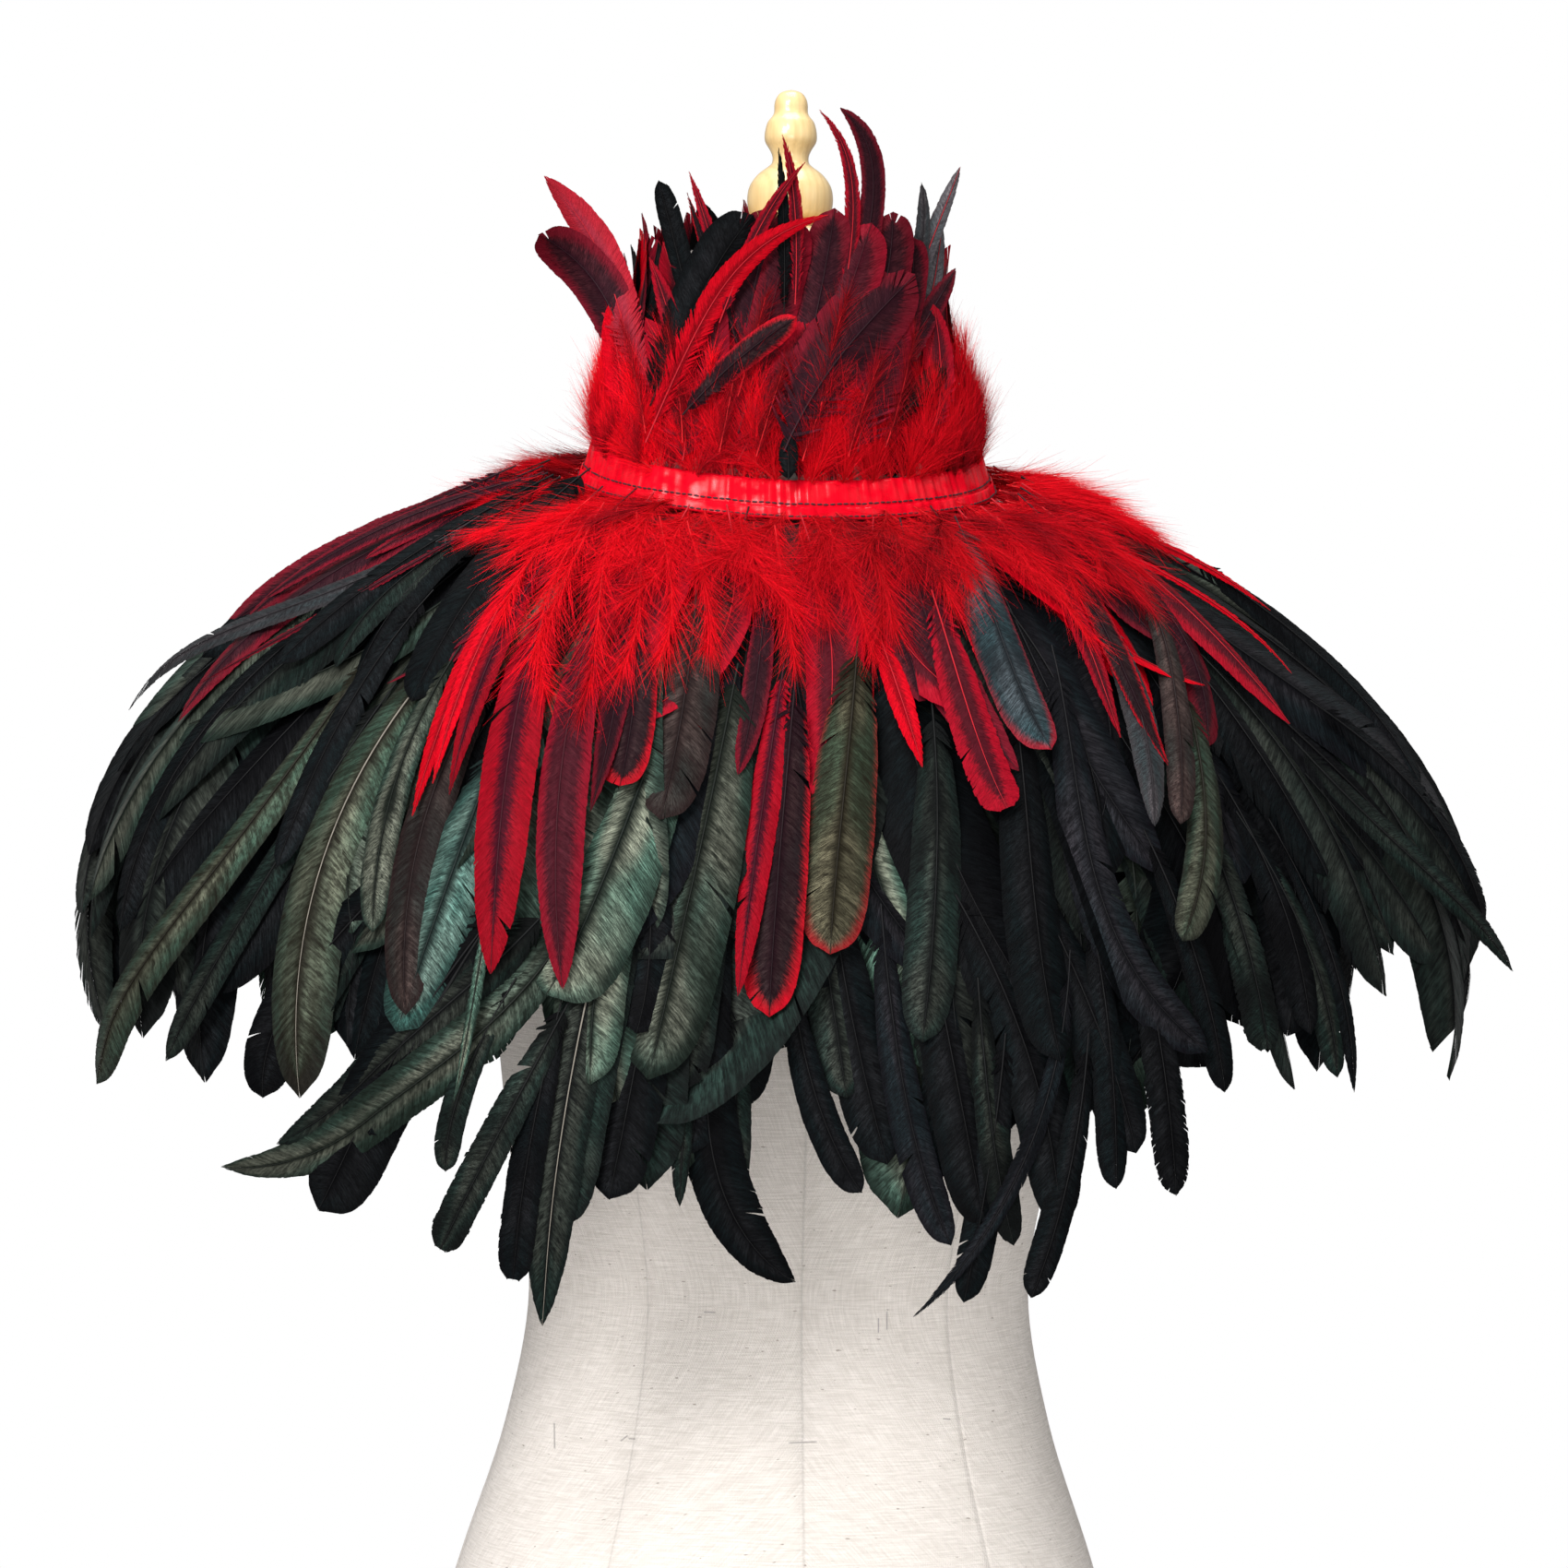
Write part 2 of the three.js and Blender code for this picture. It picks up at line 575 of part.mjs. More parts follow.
place("form_base", geometryFrom(solidOf(formBase())), pine);
place("form_torso", geometryFrom(solidOf(formTorso())), linen);
place("form_neck_cap", geometryFrom(solidOf(turned(CAP_PROFILE, CAP_FOOT, 24))), pine);
place("form_finial", geometryFrom(solidOf(turned(FINIAL_PROFILE, FINIAL_FOOT, 14))), pine);
place("yoke", geometryFrom(solidOf(yoke())), blackCotton);
place("under_layer_right", geometryFrom(solidOf(underLayer(1))), plume.black);
place("under_layer_left", geometryFrom(solidOf(underLayer(-1))), plume.black);
for (const row of CAPE_ROWS) place(row.node, capeRow(row), plume[row.tone]);
place("neck_band", geometryFrom(solidOf(neckBand())), satin);
place("band_binding", geometryFrom(solidOf(bandBinding())), satin);
place("closing_lap", geometryFrom(solidOf(closingLap())), satin);
for (const row of COLLAR_ROWS) place(row.node, collarRow(row), plume[row.tone]);

export default part;
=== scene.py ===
# %% [markdown]
# # A rooster feather cape on its dress form
#
# The real object is a short shoulder cape. Tail feathers, black with a green
# gloss, hang from a curved cotton yoke. Dyed red feathers and red down lie over
# them, a satin ribbon closes the neck, and a collar of feathers stands above it.
# It rests on a linen dress form with a turned pine finial. This lesson dresses
# the solid model of the cape with real looking feathers, cloth and wood.

import math

import bmesh
import bpy
import numpy as np
from mathutils import Matrix, Vector


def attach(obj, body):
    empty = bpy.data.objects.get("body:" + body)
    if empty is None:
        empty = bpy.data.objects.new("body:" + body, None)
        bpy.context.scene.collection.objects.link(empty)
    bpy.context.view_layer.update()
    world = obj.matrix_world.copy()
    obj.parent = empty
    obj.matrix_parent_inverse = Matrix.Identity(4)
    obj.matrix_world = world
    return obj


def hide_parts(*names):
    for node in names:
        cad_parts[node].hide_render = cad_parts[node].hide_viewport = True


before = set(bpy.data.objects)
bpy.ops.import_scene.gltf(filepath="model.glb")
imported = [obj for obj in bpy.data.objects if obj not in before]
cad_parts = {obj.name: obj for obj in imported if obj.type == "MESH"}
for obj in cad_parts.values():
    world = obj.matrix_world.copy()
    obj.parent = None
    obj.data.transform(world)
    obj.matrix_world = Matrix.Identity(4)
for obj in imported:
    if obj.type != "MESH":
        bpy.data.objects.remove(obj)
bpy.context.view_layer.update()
MM = 0.001
print("solid model:", len(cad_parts), "nodes")

# %% [markdown]
# ## Where the photographer stood
#
# The picture is taken from the front, seven degrees to the wearer's right, from
# two metres away at the height of the cape's middle, with a long lens. Feathers
# are later placed by what is seen in the picture, so the camera comes first, and
# with it a function that says where a point of the cape lands in the frame.

# %% Camera
PICTURE = 1700
VIEW = {"azimuth": -7.0, "distance": 2.0, "height": 0.468, "focal_pixels": 4700.0, "roll": 0.6}

turn = math.radians(VIEW["azimuth"])
FORWARD = np.array([-math.sin(turn), math.cos(turn), 0.0])
RIGHT = np.array([math.cos(turn), math.sin(turn), 0.0])
STAND = -VIEW["distance"] * FORWARD + np.array([0.0, 0.0, VIEW["height"]])


def in_picture(points):
    """Pixel columns and rows of points given in metres."""
    away = np.asarray(points) - STAND
    depth = away @ FORWARD
    x = VIEW["focal_pixels"] * (away @ RIGHT) / depth
    y = -VIEW["focal_pixels"] * away[..., 2] / depth
    c, s = math.cos(math.radians(VIEW["roll"])), math.sin(math.radians(VIEW["roll"]))
    return PICTURE / 2 + x * c - y * s, PICTURE / 2 + x * s + y * c


def link(name, data):
    """A new object in the scene, at the origin."""
    made = bpy.data.objects.new(name, data)
    bpy.context.scene.collection.objects.link(made)
    return made


camera_data = bpy.data.cameras.new("studio_camera")
camera_data.lens = VIEW["focal_pixels"] / PICTURE * camera_data.sensor_width
camera = link("studio_camera", camera_data)
roll = math.radians(VIEW["roll"])
right, up = Vector(RIGHT), Vector((0, 0, 1))
tilted_right = right * math.cos(roll) + up * math.sin(roll)
tilted_up = up * math.cos(roll) - right * math.sin(roll)
back = -Vector(FORWARD)
camera.matrix_world = Matrix.Translation(STAND) @ Matrix((tilted_right, tilted_up, back)).transposed().to_4x4()
bpy.context.scene.camera = camera
print("camera:", [round(v, 3) for v in STAND])

# %% [markdown]
# ## Studio light
#
# The photograph has a burnt out white background and soft light, a little
# stronger from the front left. A pale world and four large area lights do that,
# and a small light puts the glare on the ribbon. A view transform without a film
# curve keeps the dyed red as strong as it is in the picture. The floor is a pale
# disc just under the base board. It ends where the lower edge of the picture
# does, so that the background stays as plain as in the photograph.

# %% Light and floor
world = bpy.data.worlds.new("studio")
bpy.context.scene.world = world
world.use_nodes = True
BACKDROP, ROOM_LIGHT = 1.0, 0.48
nodes, links = world.node_tree.nodes, world.node_tree.links
backdrop = nodes["Background"]
backdrop.inputs["Color"].default_value = (1, 1, 1, 1)
backdrop.inputs["Strength"].default_value = BACKDROP
room = nodes.new("ShaderNodeBackground")
room.inputs["Strength"].default_value = ROOM_LIGHT
seen = nodes.new("ShaderNodeLightPath")
either = nodes.new("ShaderNodeMixShader")
links.new(seen.outputs["Is Camera Ray"], either.inputs[0])
links.new(room.outputs[0], either.inputs[1])
links.new(backdrop.outputs[0], either.inputs[2])
links.new(either.outputs[0], nodes["World Output"].inputs["Surface"])
bpy.context.scene.view_settings.view_transform = "Standard"

LAMPS = [
    # name, place (m), size (m), watts
    ("key", (-1.5, -2.2, 1.7), 1.1, 70),
    ("fill", (1.9, -1.6, 1.2), 1.5, 8),
    ("top", (0.0, -0.2, 2.2), 1.2, 26),
    ("low", (-0.3, -2.3, 0.15), 1.0, 20),
    ("glare", (-0.62, -1.62, 1.70), 0.35, 12),
]
LAMPS_AIM = Vector((0, 0, 0.45))
for name, place, size, watts in LAMPS:
    lamp_data = bpy.data.lights.new(name, "AREA")
    lamp_data.size = size
    lamp_data.energy = watts
    lamp = link(name, lamp_data)
    lamp.location = place
    lamp.rotation_euler = (LAMPS_AIM - Vector(place)).to_track_quat("-Z", "Y").to_euler()
FLOOR_RADIUS, FLOOR_LEVEL, FLOOR_CORNERS = 0.56, -0.0005, 96
floor_mesh = bpy.data.meshes.new("studio_floor")
turns = np.linspace(0, 2 * math.pi, FLOOR_CORNERS, False)
rim = [(FLOOR_RADIUS * math.cos(t), FLOOR_RADIUS * math.sin(t), FLOOR_LEVEL) for t in turns]
floor_mesh.from_pydata(rim, [], [list(range(FLOOR_CORNERS))])
floor = link("studio_floor", floor_mesh)
pale = bpy.data.materials.new("pale_floor")
pale.use_nodes = True
floor_paint = pale.node_tree.nodes["Principled BSDF"]
floor_paint.inputs["Base Color"].default_value = (0.88, 0.88, 0.87, 1)
floor_paint.inputs["Roughness"].default_value = 0.8
floor_mesh.materials.append(pale)
print("lamps:", len(LAMPS), "floor radius:", FLOOR_RADIUS)

# %% [markdown]
# ## A short way to write node maths
#
# Materials and geometry trees are long when each node is written out. A small
# class wraps a socket, so that `1 - mask` adds a Math node. Vectors and colours
# go through Vector Math and Mix nodes, because a Math node turns a colour grey.

# %% Socket maths
class Wire:
    """A socket that adds nodes when it is used in a sum."""

    def __init__(self, tree, socket):
        self.tree = tree
        self.socket = socket

    @property
    def is_vector(self):
        return self.socket.type in ("VECTOR", "RGBA")

    def node(self, kind, settings, values, output=0):
        return add_node(self.tree, kind, settings, values, output)

    def math(self, operation, *others):
        return self.node("ShaderNodeMath", {"operation": operation}, dict(enumerate((self, *others))))

    def _sum(self, operation, a, b):
        kind = "ShaderNodeMath"
        if any(isinstance(x, Wire) and x.is_vector for x in (a, b)):
            kind = "ShaderNodeVectorMath"
            a, b = [(x, x, x) if isinstance(x, (int, float)) else x for x in (a, b)]
        return self.node(kind, {"operation": operation}, {0: a, 1: b})

    def __add__(self, other):
        return self._sum("ADD", self, other)

    def __radd__(self, other):
        return self._sum("ADD", other, self)

    def __sub__(self, other):
        return self._sum("SUBTRACT", self, other)

    def __rsub__(self, other):
        return self._sum("SUBTRACT", other, self)

    def __mul__(self, other):
        return self._sum("MULTIPLY", self, other)

    def __rmul__(self, other):
        return self._sum("MULTIPLY", other, self)

    def __pow__(self, other):
        return self.math("POWER", other)

    def clamp(self):
        return self.node("ShaderNodeClamp", {}, {"Value": self, "Min": 0.0, "Max": 1.0})

    def step(self, low, high):
        """0 below low and 1 above high, with a smooth change between them."""
        values = {"Value": self, "From Min": low, "From Max": high}
        return self.node("ShaderNodeMapRange", {"interpolation_type": "SMOOTHSTEP"}, values)

    def part(self, axis):
        return self.node("ShaderNodeSeparateXYZ", {}, {0: self}, output=axis)


def add_node(tree, kind, settings=None, values=None, output=0):
    """Adds a node: its settings first, then the values or links of its sockets."""
    made = tree.nodes.new(kind)
    for key, value in (settings or {}).items():
        setattr(made, key, value)
    for key, value in (values or {}).items():
        if isinstance(value, Wire):
            tree.links.new(value.socket, made.inputs[key])
        else:
            made.inputs[key].default_value = value
    return Wire(tree, made.outputs[output]) if len(made.outputs) else made


def mix_colours(tree, share, first, second):
    """The first colour at share 0 and the second at share 1."""
    values = {0: share, 6: first, 7: second}
    return add_node(tree, "ShaderNodeMix", {"data_type": "RGBA"}, values, output=2)


def shade_colour(tree, colour, value):
    """The colour made lighter or darker by a value."""
    settings = {"data_type": "RGBA", "blend_type": "MULTIPLY", "clamp_result": False}
    return add_node(tree, "ShaderNodeMix", settings, {0: 1.0, 6: colour, 7: value}, output=2)


def noise(tree, place, scale, detail=2.0, roughness=0.5):
    values = {"Vector": place, "Scale": scale, "Detail": detail, "Roughness": roughness}
    return add_node(tree, "ShaderNodeTexNoise", {}, values)


def attribute(tree, name, output=0):
    return add_node(tree, "ShaderNodeAttribute", {"attribute_name": name}, {}, output)


def together(tree, x, y, z):
    return add_node(tree, "ShaderNodeCombineXYZ", {}, {0: x, 1: y, 2: z})


def object_place(tree):
    """Coordinates in metres, in which each piece is modelled."""
    return add_node(tree, "ShaderNodeTexCoord", {}, {}, 3)


def cloth_place(tree):
    """The flat measures of a cloth in metres, from its own UV map."""
    return add_node(tree, "ShaderNodeUVMap", {"uv_map": "cloth"})


def finish_of(name, colour, constants, roughness=None, metallic=None, bump=None):
    """Closes a material: colour(tree) and the others give wires, constants sit on the shader."""
    finish = bpy.data.materials.new(name)
    finish.use_nodes = True
    tree = finish.node_tree
    shader = tree.nodes["Principled BSDF"]
    for key, value in constants.items():
        shader.inputs[key].default_value = value
    for key, maker in (("Base Color", colour), ("Roughness", roughness), ("Metallic", metallic)):
        if maker is not None:
            tree.links.new(maker(tree).socket, shader.inputs[key])
    if bump is not None:
        height, distance = bump(tree)
        bumped = add_node(tree, "ShaderNodeBump", {}, {"Height": height, "Distance": distance, "Strength": 1.0})
        tree.links.new(bumped.socket, shader.inputs["Normal"])
    return finish


print("socket maths ready")

# %% [markdown]
# ## How the cape falls
#
# A cape of feathers is a cone that starts nearly flat at the neck, rolls over
# the shoulders and ends steep. The table gives the slope at the neck and at the
# hem, how far along the cape the change reaches, and the length to the hem, for
# eight directions round the neck. It is the table from which the solid model is
# made, so every feather placed with it lies on that model.

# %% The fall of the cape
NECKLINE = {"half_width": 90.0, "half_depth": 69.0, "side_height": 604.4, "front_drop": 18.5}
FALL = [
    # direction, slope at the neck, slope at the hem, reach, power, hem
    (0, 46, 97, 370, 1.0, 370),
    (45, 38, 96, 352, 1.4, 348),
    (90, 27, 93, 342, 2.6, 360),
    (135, 31, 95, 345, 1.6, 366),
    (180, 34, 97, 360, 1.2, 366),
    (225, 25, 96, 350, 1.6, 368),
    (270, 22, 95, 328, 2.2, 380),
    (315, 32, 96, 352, 1.4, 366),
]


def smooth(share):
    share = np.clip(share, 0.0, 1.0)
    return share * share * (3 - 2 * share)


def fall_at(direction):
    """Slope at the neck, slope at the hem, reach, power and hem for directions in degrees."""
    turn = np.mod(np.asarray(direction, float), 360.0) / 45.0
    low = np.floor(turn).astype(int) % 8
    share = smooth(turn - np.floor(turn))[..., None]
    rows = np.array(FALL, float)[:, 1:]
    return rows[low] * (1 - share) + rows[(low + 1) % 8] * share


LENGTH_STEP = 2.0
DIRECTIONS = np.arange(-180.0, 181.0, 1.0)
LENGTHS = np.arange(-12.0, 461.0, LENGTH_STEP)


def fall_table():
    """Slope, run and fall along the cape for each direction and length."""
    fall = fall_at(DIRECTIONS)[:, None, :]
    slope = lambda at: np.radians(
        fall[..., 0] + (fall[..., 1] - fall[..., 0]) * np.clip(at / fall[..., 2], 0, 1.05) ** fall[..., 3]
    )
    middles = slope(LENGTHS[None, :-1] + LENGTH_STEP / 2)
    start = int(np.argmin(np.abs(LENGTHS)))
    summed = []
    for part in (np.cos(middles), np.sin(middles)):
        total = np.concatenate([np.zeros((len(DIRECTIONS), 1)), np.cumsum(part * LENGTH_STEP, axis=1)], axis=1)
        summed.append(total - total[:, start : start + 1])
    return slope(LENGTHS[None, :]), summed[0], summed[1]


SLOPE, RUN, DROP = fall_table()


def look_up(table, direction, length):
    """A value between the table's rows and columns."""
    u = np.mod(np.asarray(direction, float) + 180.0, 360.0)
    v = np.clip((np.asarray(length, float) - LENGTHS[0]) / LENGTH_STEP, 0, len(LENGTHS) - 1.001)
    i, j = np.floor(u).astype(int), np.floor(v).astype(int)
    du, dv = u - i, v - j
    k = np.minimum(i + 1, len(DIRECTIONS) - 1)
    low = table[i, j] * (1 - dv) + table[i, j + 1] * dv
    high = table[k, j] * (1 - dv) + table[k, j + 1] * dv
    return low * (1 - du) + high * du


def cape_point(direction, length, off):
    """A point in millimetres: direction round the neck, length from the neckline, off the surface."""
    direction, length, off = np.broadcast_arrays(direction, length, off)
    slope = look_up(SLOPE, direction, length)
    out = look_up(RUN, direction, length) + np.sin(slope) * off
    angle = np.radians(direction)
    x = (NECKLINE["half_width"] + out) * np.sin(angle)
    y = -(NECKLINE["half_depth"] + out) * np.cos(angle)
    z = NECKLINE["side_height"] - NECKLINE["front_drop"] * np.cos(angle)
    z = z - look_up(DROP, direction, length) + np.cos(slope) * off
    return np.stack([x, y, z], axis=-1)


BAND = {"height": 19.0, "lean": 0.3, "gathers": 32, "foot_length": 4.0, "foot_off": 2.9}


def band_point(direction, height, out):
    """A point of the neck ribbon, which leans inwards as it rises."""
    direction, height, out = np.broadcast_arrays(direction, height, out)
    foot = cape_point(direction, BAND["foot_length"], BAND["foot_off"])
    long = math.hypot(1, BAND["lean"])
    angle = np.radians(direction)
    outwards = np.stack([np.sin(angle), -np.cos(angle), np.zeros_like(angle)], axis=-1)
    moved = foot + outwards * ((-BAND["lean"] * height + out) / long)[..., None]
    return moved + np.stack([0 * angle, 0 * angle, (height + BAND["lean"] * out) / long], axis=-1)


COLLAR_ROOT = 11.0  # height on the ribbon where the collar feathers start, in mm
COLLAR_FREE = 8.0  # length along them that the ribbon holds, in mm
COLLAR_STEPS = 24


def collar_lean(shape, along):
    """How far a collar feather leans outwards, in radians. shape has lean and flare."""
    free = along - COLLAR_FREE
    band = -math.degrees(math.atan(BAND["lean"]))
    lean = band + (shape[0] - band) * smooth(free / 40) + shape[1] * smooth((free - 30) / 100)
    return np.radians(lean)


def collar_point(direction, along, off, inset, shape):
    """A point of the standing collar: along is the length up the feather."""
    direction, along, off = np.broadcast_arrays(direction, along, off)
    out, rise = 0 * along.astype(float), 0 * along.astype(float)
    for i in range(COLLAR_STEPS):
        lean = collar_lean(shape, (i + 0.5) / COLLAR_STEPS * along)
        out = out + np.sin(lean) * along / COLLAR_STEPS
        rise = rise + np.cos(lean) * along / COLLAR_STEPS
    tilt = collar_lean(shape, along)
    foot = band_point(direction, COLLAR_ROOT, -inset)
    angle = np.radians(direction)
    outwards = np.stack([np.sin(angle), -np.cos(angle), np.zeros_like(angle)], axis=-1)
    moved = foot + outwards * (out + np.cos(tilt) * off)[..., None]
    return moved + np.stack([0 * angle, 0 * angle, rise - np.sin(tilt) * off], axis=-1)


front = cape_point(0.0, 370.0, 0.0)
print("front hem at", np.round(front), "in the picture", [round(float(v)) for v in in_picture(front * MM)])

# %% [markdown]
# ## How one feather is built
#
# A feather is a shaft with two rows of barbs. Each barb leaves the shaft, bends
# towards the tip and ends on the outline of the vane. Here and there the barbs
# part, which leaves the small splits that every used feather has. A painted card
# would be quicker, but its edge stays smooth and it shines as one flat plate. So
# every barb is a narrow strip of its own, and Geometry Nodes makes it from a
# point that stores where the barb starts, where it reaches and how it bends. The
# strip is cut along the shaft at its root and along the outline at its end, so
# neighbours close up to one vane, which only opens at a split. A barb of down is
# one quad, because thousands of them lie on each other.

# %% The tree that grows barbs on shafts
def named_attribute(tree, name, kind="FLOAT"):
    return add_node(tree, "GeometryNodeInputNamedAttribute", {"data_type": kind}, {"Name": name})


def plumage_tree():
    """Loose points become barbs, and edges become shafts."""
    tree = bpy.data.node_groups.new("plumage", "GeometryNodeTree")
    sockets = [
        ("Lines", "NodeSocketGeometry", None),
        ("Barb segments", "NodeSocketInt", 3),
        ("Down segments", "NodeSocketInt", 1),
        ("Stray tips", "NodeSocketFloat", 0.0004),
        ("Shaft sides", "NodeSocketInt", 4),
        ("Seed", "NodeSocketInt", 7),
        ("Vane finish", "NodeSocketMaterial", None),
        ("Down finish", "NodeSocketMaterial", None),
        ("Shaft finish", "NodeSocketMaterial", None),
    ]
    for name, kind, value in sockets:
        made = tree.interface.new_socket(name, in_out="INPUT", socket_type=kind)
        if value is not None:
            made.default_value = value
    tree.interface.new_socket("Plumage", in_out="OUTPUT", socket_type="NodeSocketGeometry")
    given = tree.nodes.new("NodeGroupInput")
    wire = lambda name: Wire(tree, given.outputs[name])
    on_shaft = named_attribute(tree, "on_shaft").math("GREATER_THAN", 0.5)
    split = tree.nodes.new("GeometryNodeSeparateGeometry")
    tree.links.new(given.outputs["Lines"], split.inputs["Geometry"])
    tree.links.new(on_shaft.socket, split.inputs["Selection"])
    lines, roots = Wire(tree, split.outputs[0]), Wire(tree, split.outputs[1])

    stray = add_node(
        tree,
        "FunctionNodeRandomValue",
        {"data_type": "FLOAT_VECTOR"},
        {0: (-1, -1, -1), 1: (1, 1, 1), "Seed": wire("Seed")},
    )
    roots = add_node(
        tree,
        "GeometryNodeStoreNamedAttribute",
        {"data_type": "FLOAT_VECTOR", "domain": "POINT"},
        {"Geometry": roots, "Name": "stray", "Value": stray},
    )
    downy = named_attribute(tree, "downy").math("GREATER_THAN", 0.5)
    parted = tree.nodes.new("GeometryNodeSeparateGeometry")
    tree.links.new(roots.socket, parted.inputs["Geometry"])
    tree.links.new(downy.socket, parted.inputs["Selection"])
    here = add_node(tree, "GeometryNodeInputPosition")
    both = tree.nodes.new("GeometryNodeJoinGeometry")
    for output, segments in ((1, "Barb segments"), (0, "Down segments")):
        strip = add_node(
            tree,
            "GeometryNodeMeshGrid",
            {},
            {"Size X": 1.0, "Size Y": 1.0, "Vertices X": wire(segments) + 1.0, "Vertices Y": 2},
        )
        strip = add_node(
            tree,
            "GeometryNodeStoreNamedAttribute",
            {"data_type": "FLOAT_VECTOR", "domain": "POINT"},
            {"Geometry": strip, "Name": "barb_place", "Value": here + (0.5, 0.0, 0.0)},
        )
        points = Wire(tree, parted.outputs[output])
        strips = add_node(tree, "GeometryNodeInstanceOnPoints", {}, {"Points": points, "Instance": strip})
        tree.links.new(strips.socket, both.inputs[0])
    barbs = add_node(tree, "GeometryNodeRealizeInstances", {}, {"Geometry": Wire(tree, both.outputs[0])})
    place = named_attribute(tree, "barb_place", "FLOAT_VECTOR")
    along, across = place.part(0), place.part(1)
    reach = named_attribute(tree, "reach", "FLOAT_VECTOR")
    bend = named_attribute(tree, "bend", "FLOAT_VECTOR")
    root_breadth = named_attribute(tree, "breadth", "FLOAT_VECTOR")
    end_breadth = named_attribute(tree, "end_breadth", "FLOAT_VECTOR")
    breadth = root_breadth * (1.0 - along) + end_breadth * along
    end_width = named_attribute(tree, "end_width")
    taper = 1.0 - (1.0 - end_width) * along.step(0.55, 1.0)
    squared = along * along
    local = place - (0.5, 0.0, 0.0)
    grown = here - local + reach * along + bend * squared + breadth * (across * taper)
    free_end = 1.0 - end_width * 0.88
    grown = grown + named_attribute(tree, "stray", "FLOAT_VECTOR") * (squared * free_end * wire("Stray tips"))
    barbs = add_node(tree, "GeometryNodeSetPosition", {}, {"Geometry": barbs, "Position": grown})
    barbs = add_node(tree, "GeometryNodeSetMaterial", {}, {"Geometry": barbs, "Material": wire("Vane finish")})
    barbs = add_node(
        tree,
        "GeometryNodeSetMaterial",
        {},
        {"Geometry": barbs, "Selection": downy, "Material": wire("Down finish")},
    )

    curves = add_node(tree, "GeometryNodeMeshToCurve", {}, {"Mesh": lines})
    radius = named_attribute(tree, "shaft_radius")
    curves = add_node(tree, "GeometryNodeSetCurveRadius", {}, {"Curve": curves, "Radius": radius})
    ring = add_node(tree, "GeometryNodeCurvePrimitiveCircle", {}, {"Resolution": wire("Shaft sides"), "Radius": 1.0})
    shafts = tree.nodes.new("GeometryNodeCurveToMesh")
    tree.links.new(curves.socket, shafts.inputs["Curve"])
    tree.links.new(ring.socket, shafts.inputs["Profile Curve"])
    shafts.inputs["Fill Caps"].default_value = True
    if "Scale" in shafts.inputs:
        tree.links.new(radius.socket, shafts.inputs["Scale"])
    shafts = Wire(tree, shafts.outputs[0])
    shafts = add_node(tree, "GeometryNodeSetMaterial", {}, {"Geometry": shafts, "Material": wire("Shaft finish")})
    joined = tree.nodes.new("GeometryNodeJoinGeometry")
    tree.links.new(barbs.socket, joined.inputs[0])
    tree.links.new(shafts.socket, joined.inputs[0])
    out = tree.nodes.new("NodeGroupOutput")
    tree.links.new(joined.outputs[0], out.inputs[0])
    return tree


PLUMAGE = plumage_tree()
print("plumage tree:", len(PLUMAGE.nodes), "nodes")

# %% [markdown]
# ## The kinds of feather
#
# Tail feathers are long and broad with a round tip. Body feathers end in a soft
# point, and hackles are slim and sharp. Some tail feathers are blunt or worn.
# Down plumes have loose barbs and no closed vane. One table gives each kind its
# outline and the slant, spacing and cup of its barbs, and another one the dyes.

# %% Feather kinds
OUTLINE = {
    # share of the blade: share of the full width
    "tail": (
        (0, 0.35), (0.1, 0.62), (0.3, 0.88), (0.55, 1), (0.8, 0.98), (0.9, 0.84), (0.96, 0.6), (0.99, 0.3), (1, 0.03)
    ),
    "body": ((0, 0.45), (0.15, 0.8), (0.4, 1), (0.65, 0.95), (0.83, 0.72), (0.94, 0.38), (0.985, 0.14), (1, 0.02)),
    "hackle": ((0, 0.5), (0.2, 0.9), (0.45, 1), (0.7, 0.75), (0.9, 0.32), (1, 0.02)),
    "blunt": ((0, 0.5), (0.3, 0.9), (0.6, 1), (0.9, 0.98), (0.975, 0.8), (1, 0.35)),
}
KIND = {
    # outline, slant of the barbs (share of width), spacing in mm, cup, width of barb ends, splits and how wide,
    # uneven edge
    "tail": dict(outline="tail", slant=1.1, spacing=2.1, cup=0.26, end=0.95, splits=2, push=0.022, ragged=0.003),
    "body": dict(outline="body", slant=1.2, spacing=1.8, cup=0.22, end=0.85, splits=1, push=0.02, ragged=0.006),
    "hackle": dict(outline="hackle", slant=1.8, spacing=1.6, cup=0.1, end=0.75, splits=0, push=0.02, ragged=0.008),
    "blunt": dict(outline="blunt", slant=1.0, spacing=2.1, cup=0.2, end=0.9, splits=2, push=0.03, ragged=0.02),
    "worn": dict(outline="tail", slant=1.2, spacing=2.0, cup=0.2, end=0.7, splits=5, push=0.05, ragged=0.02),
}
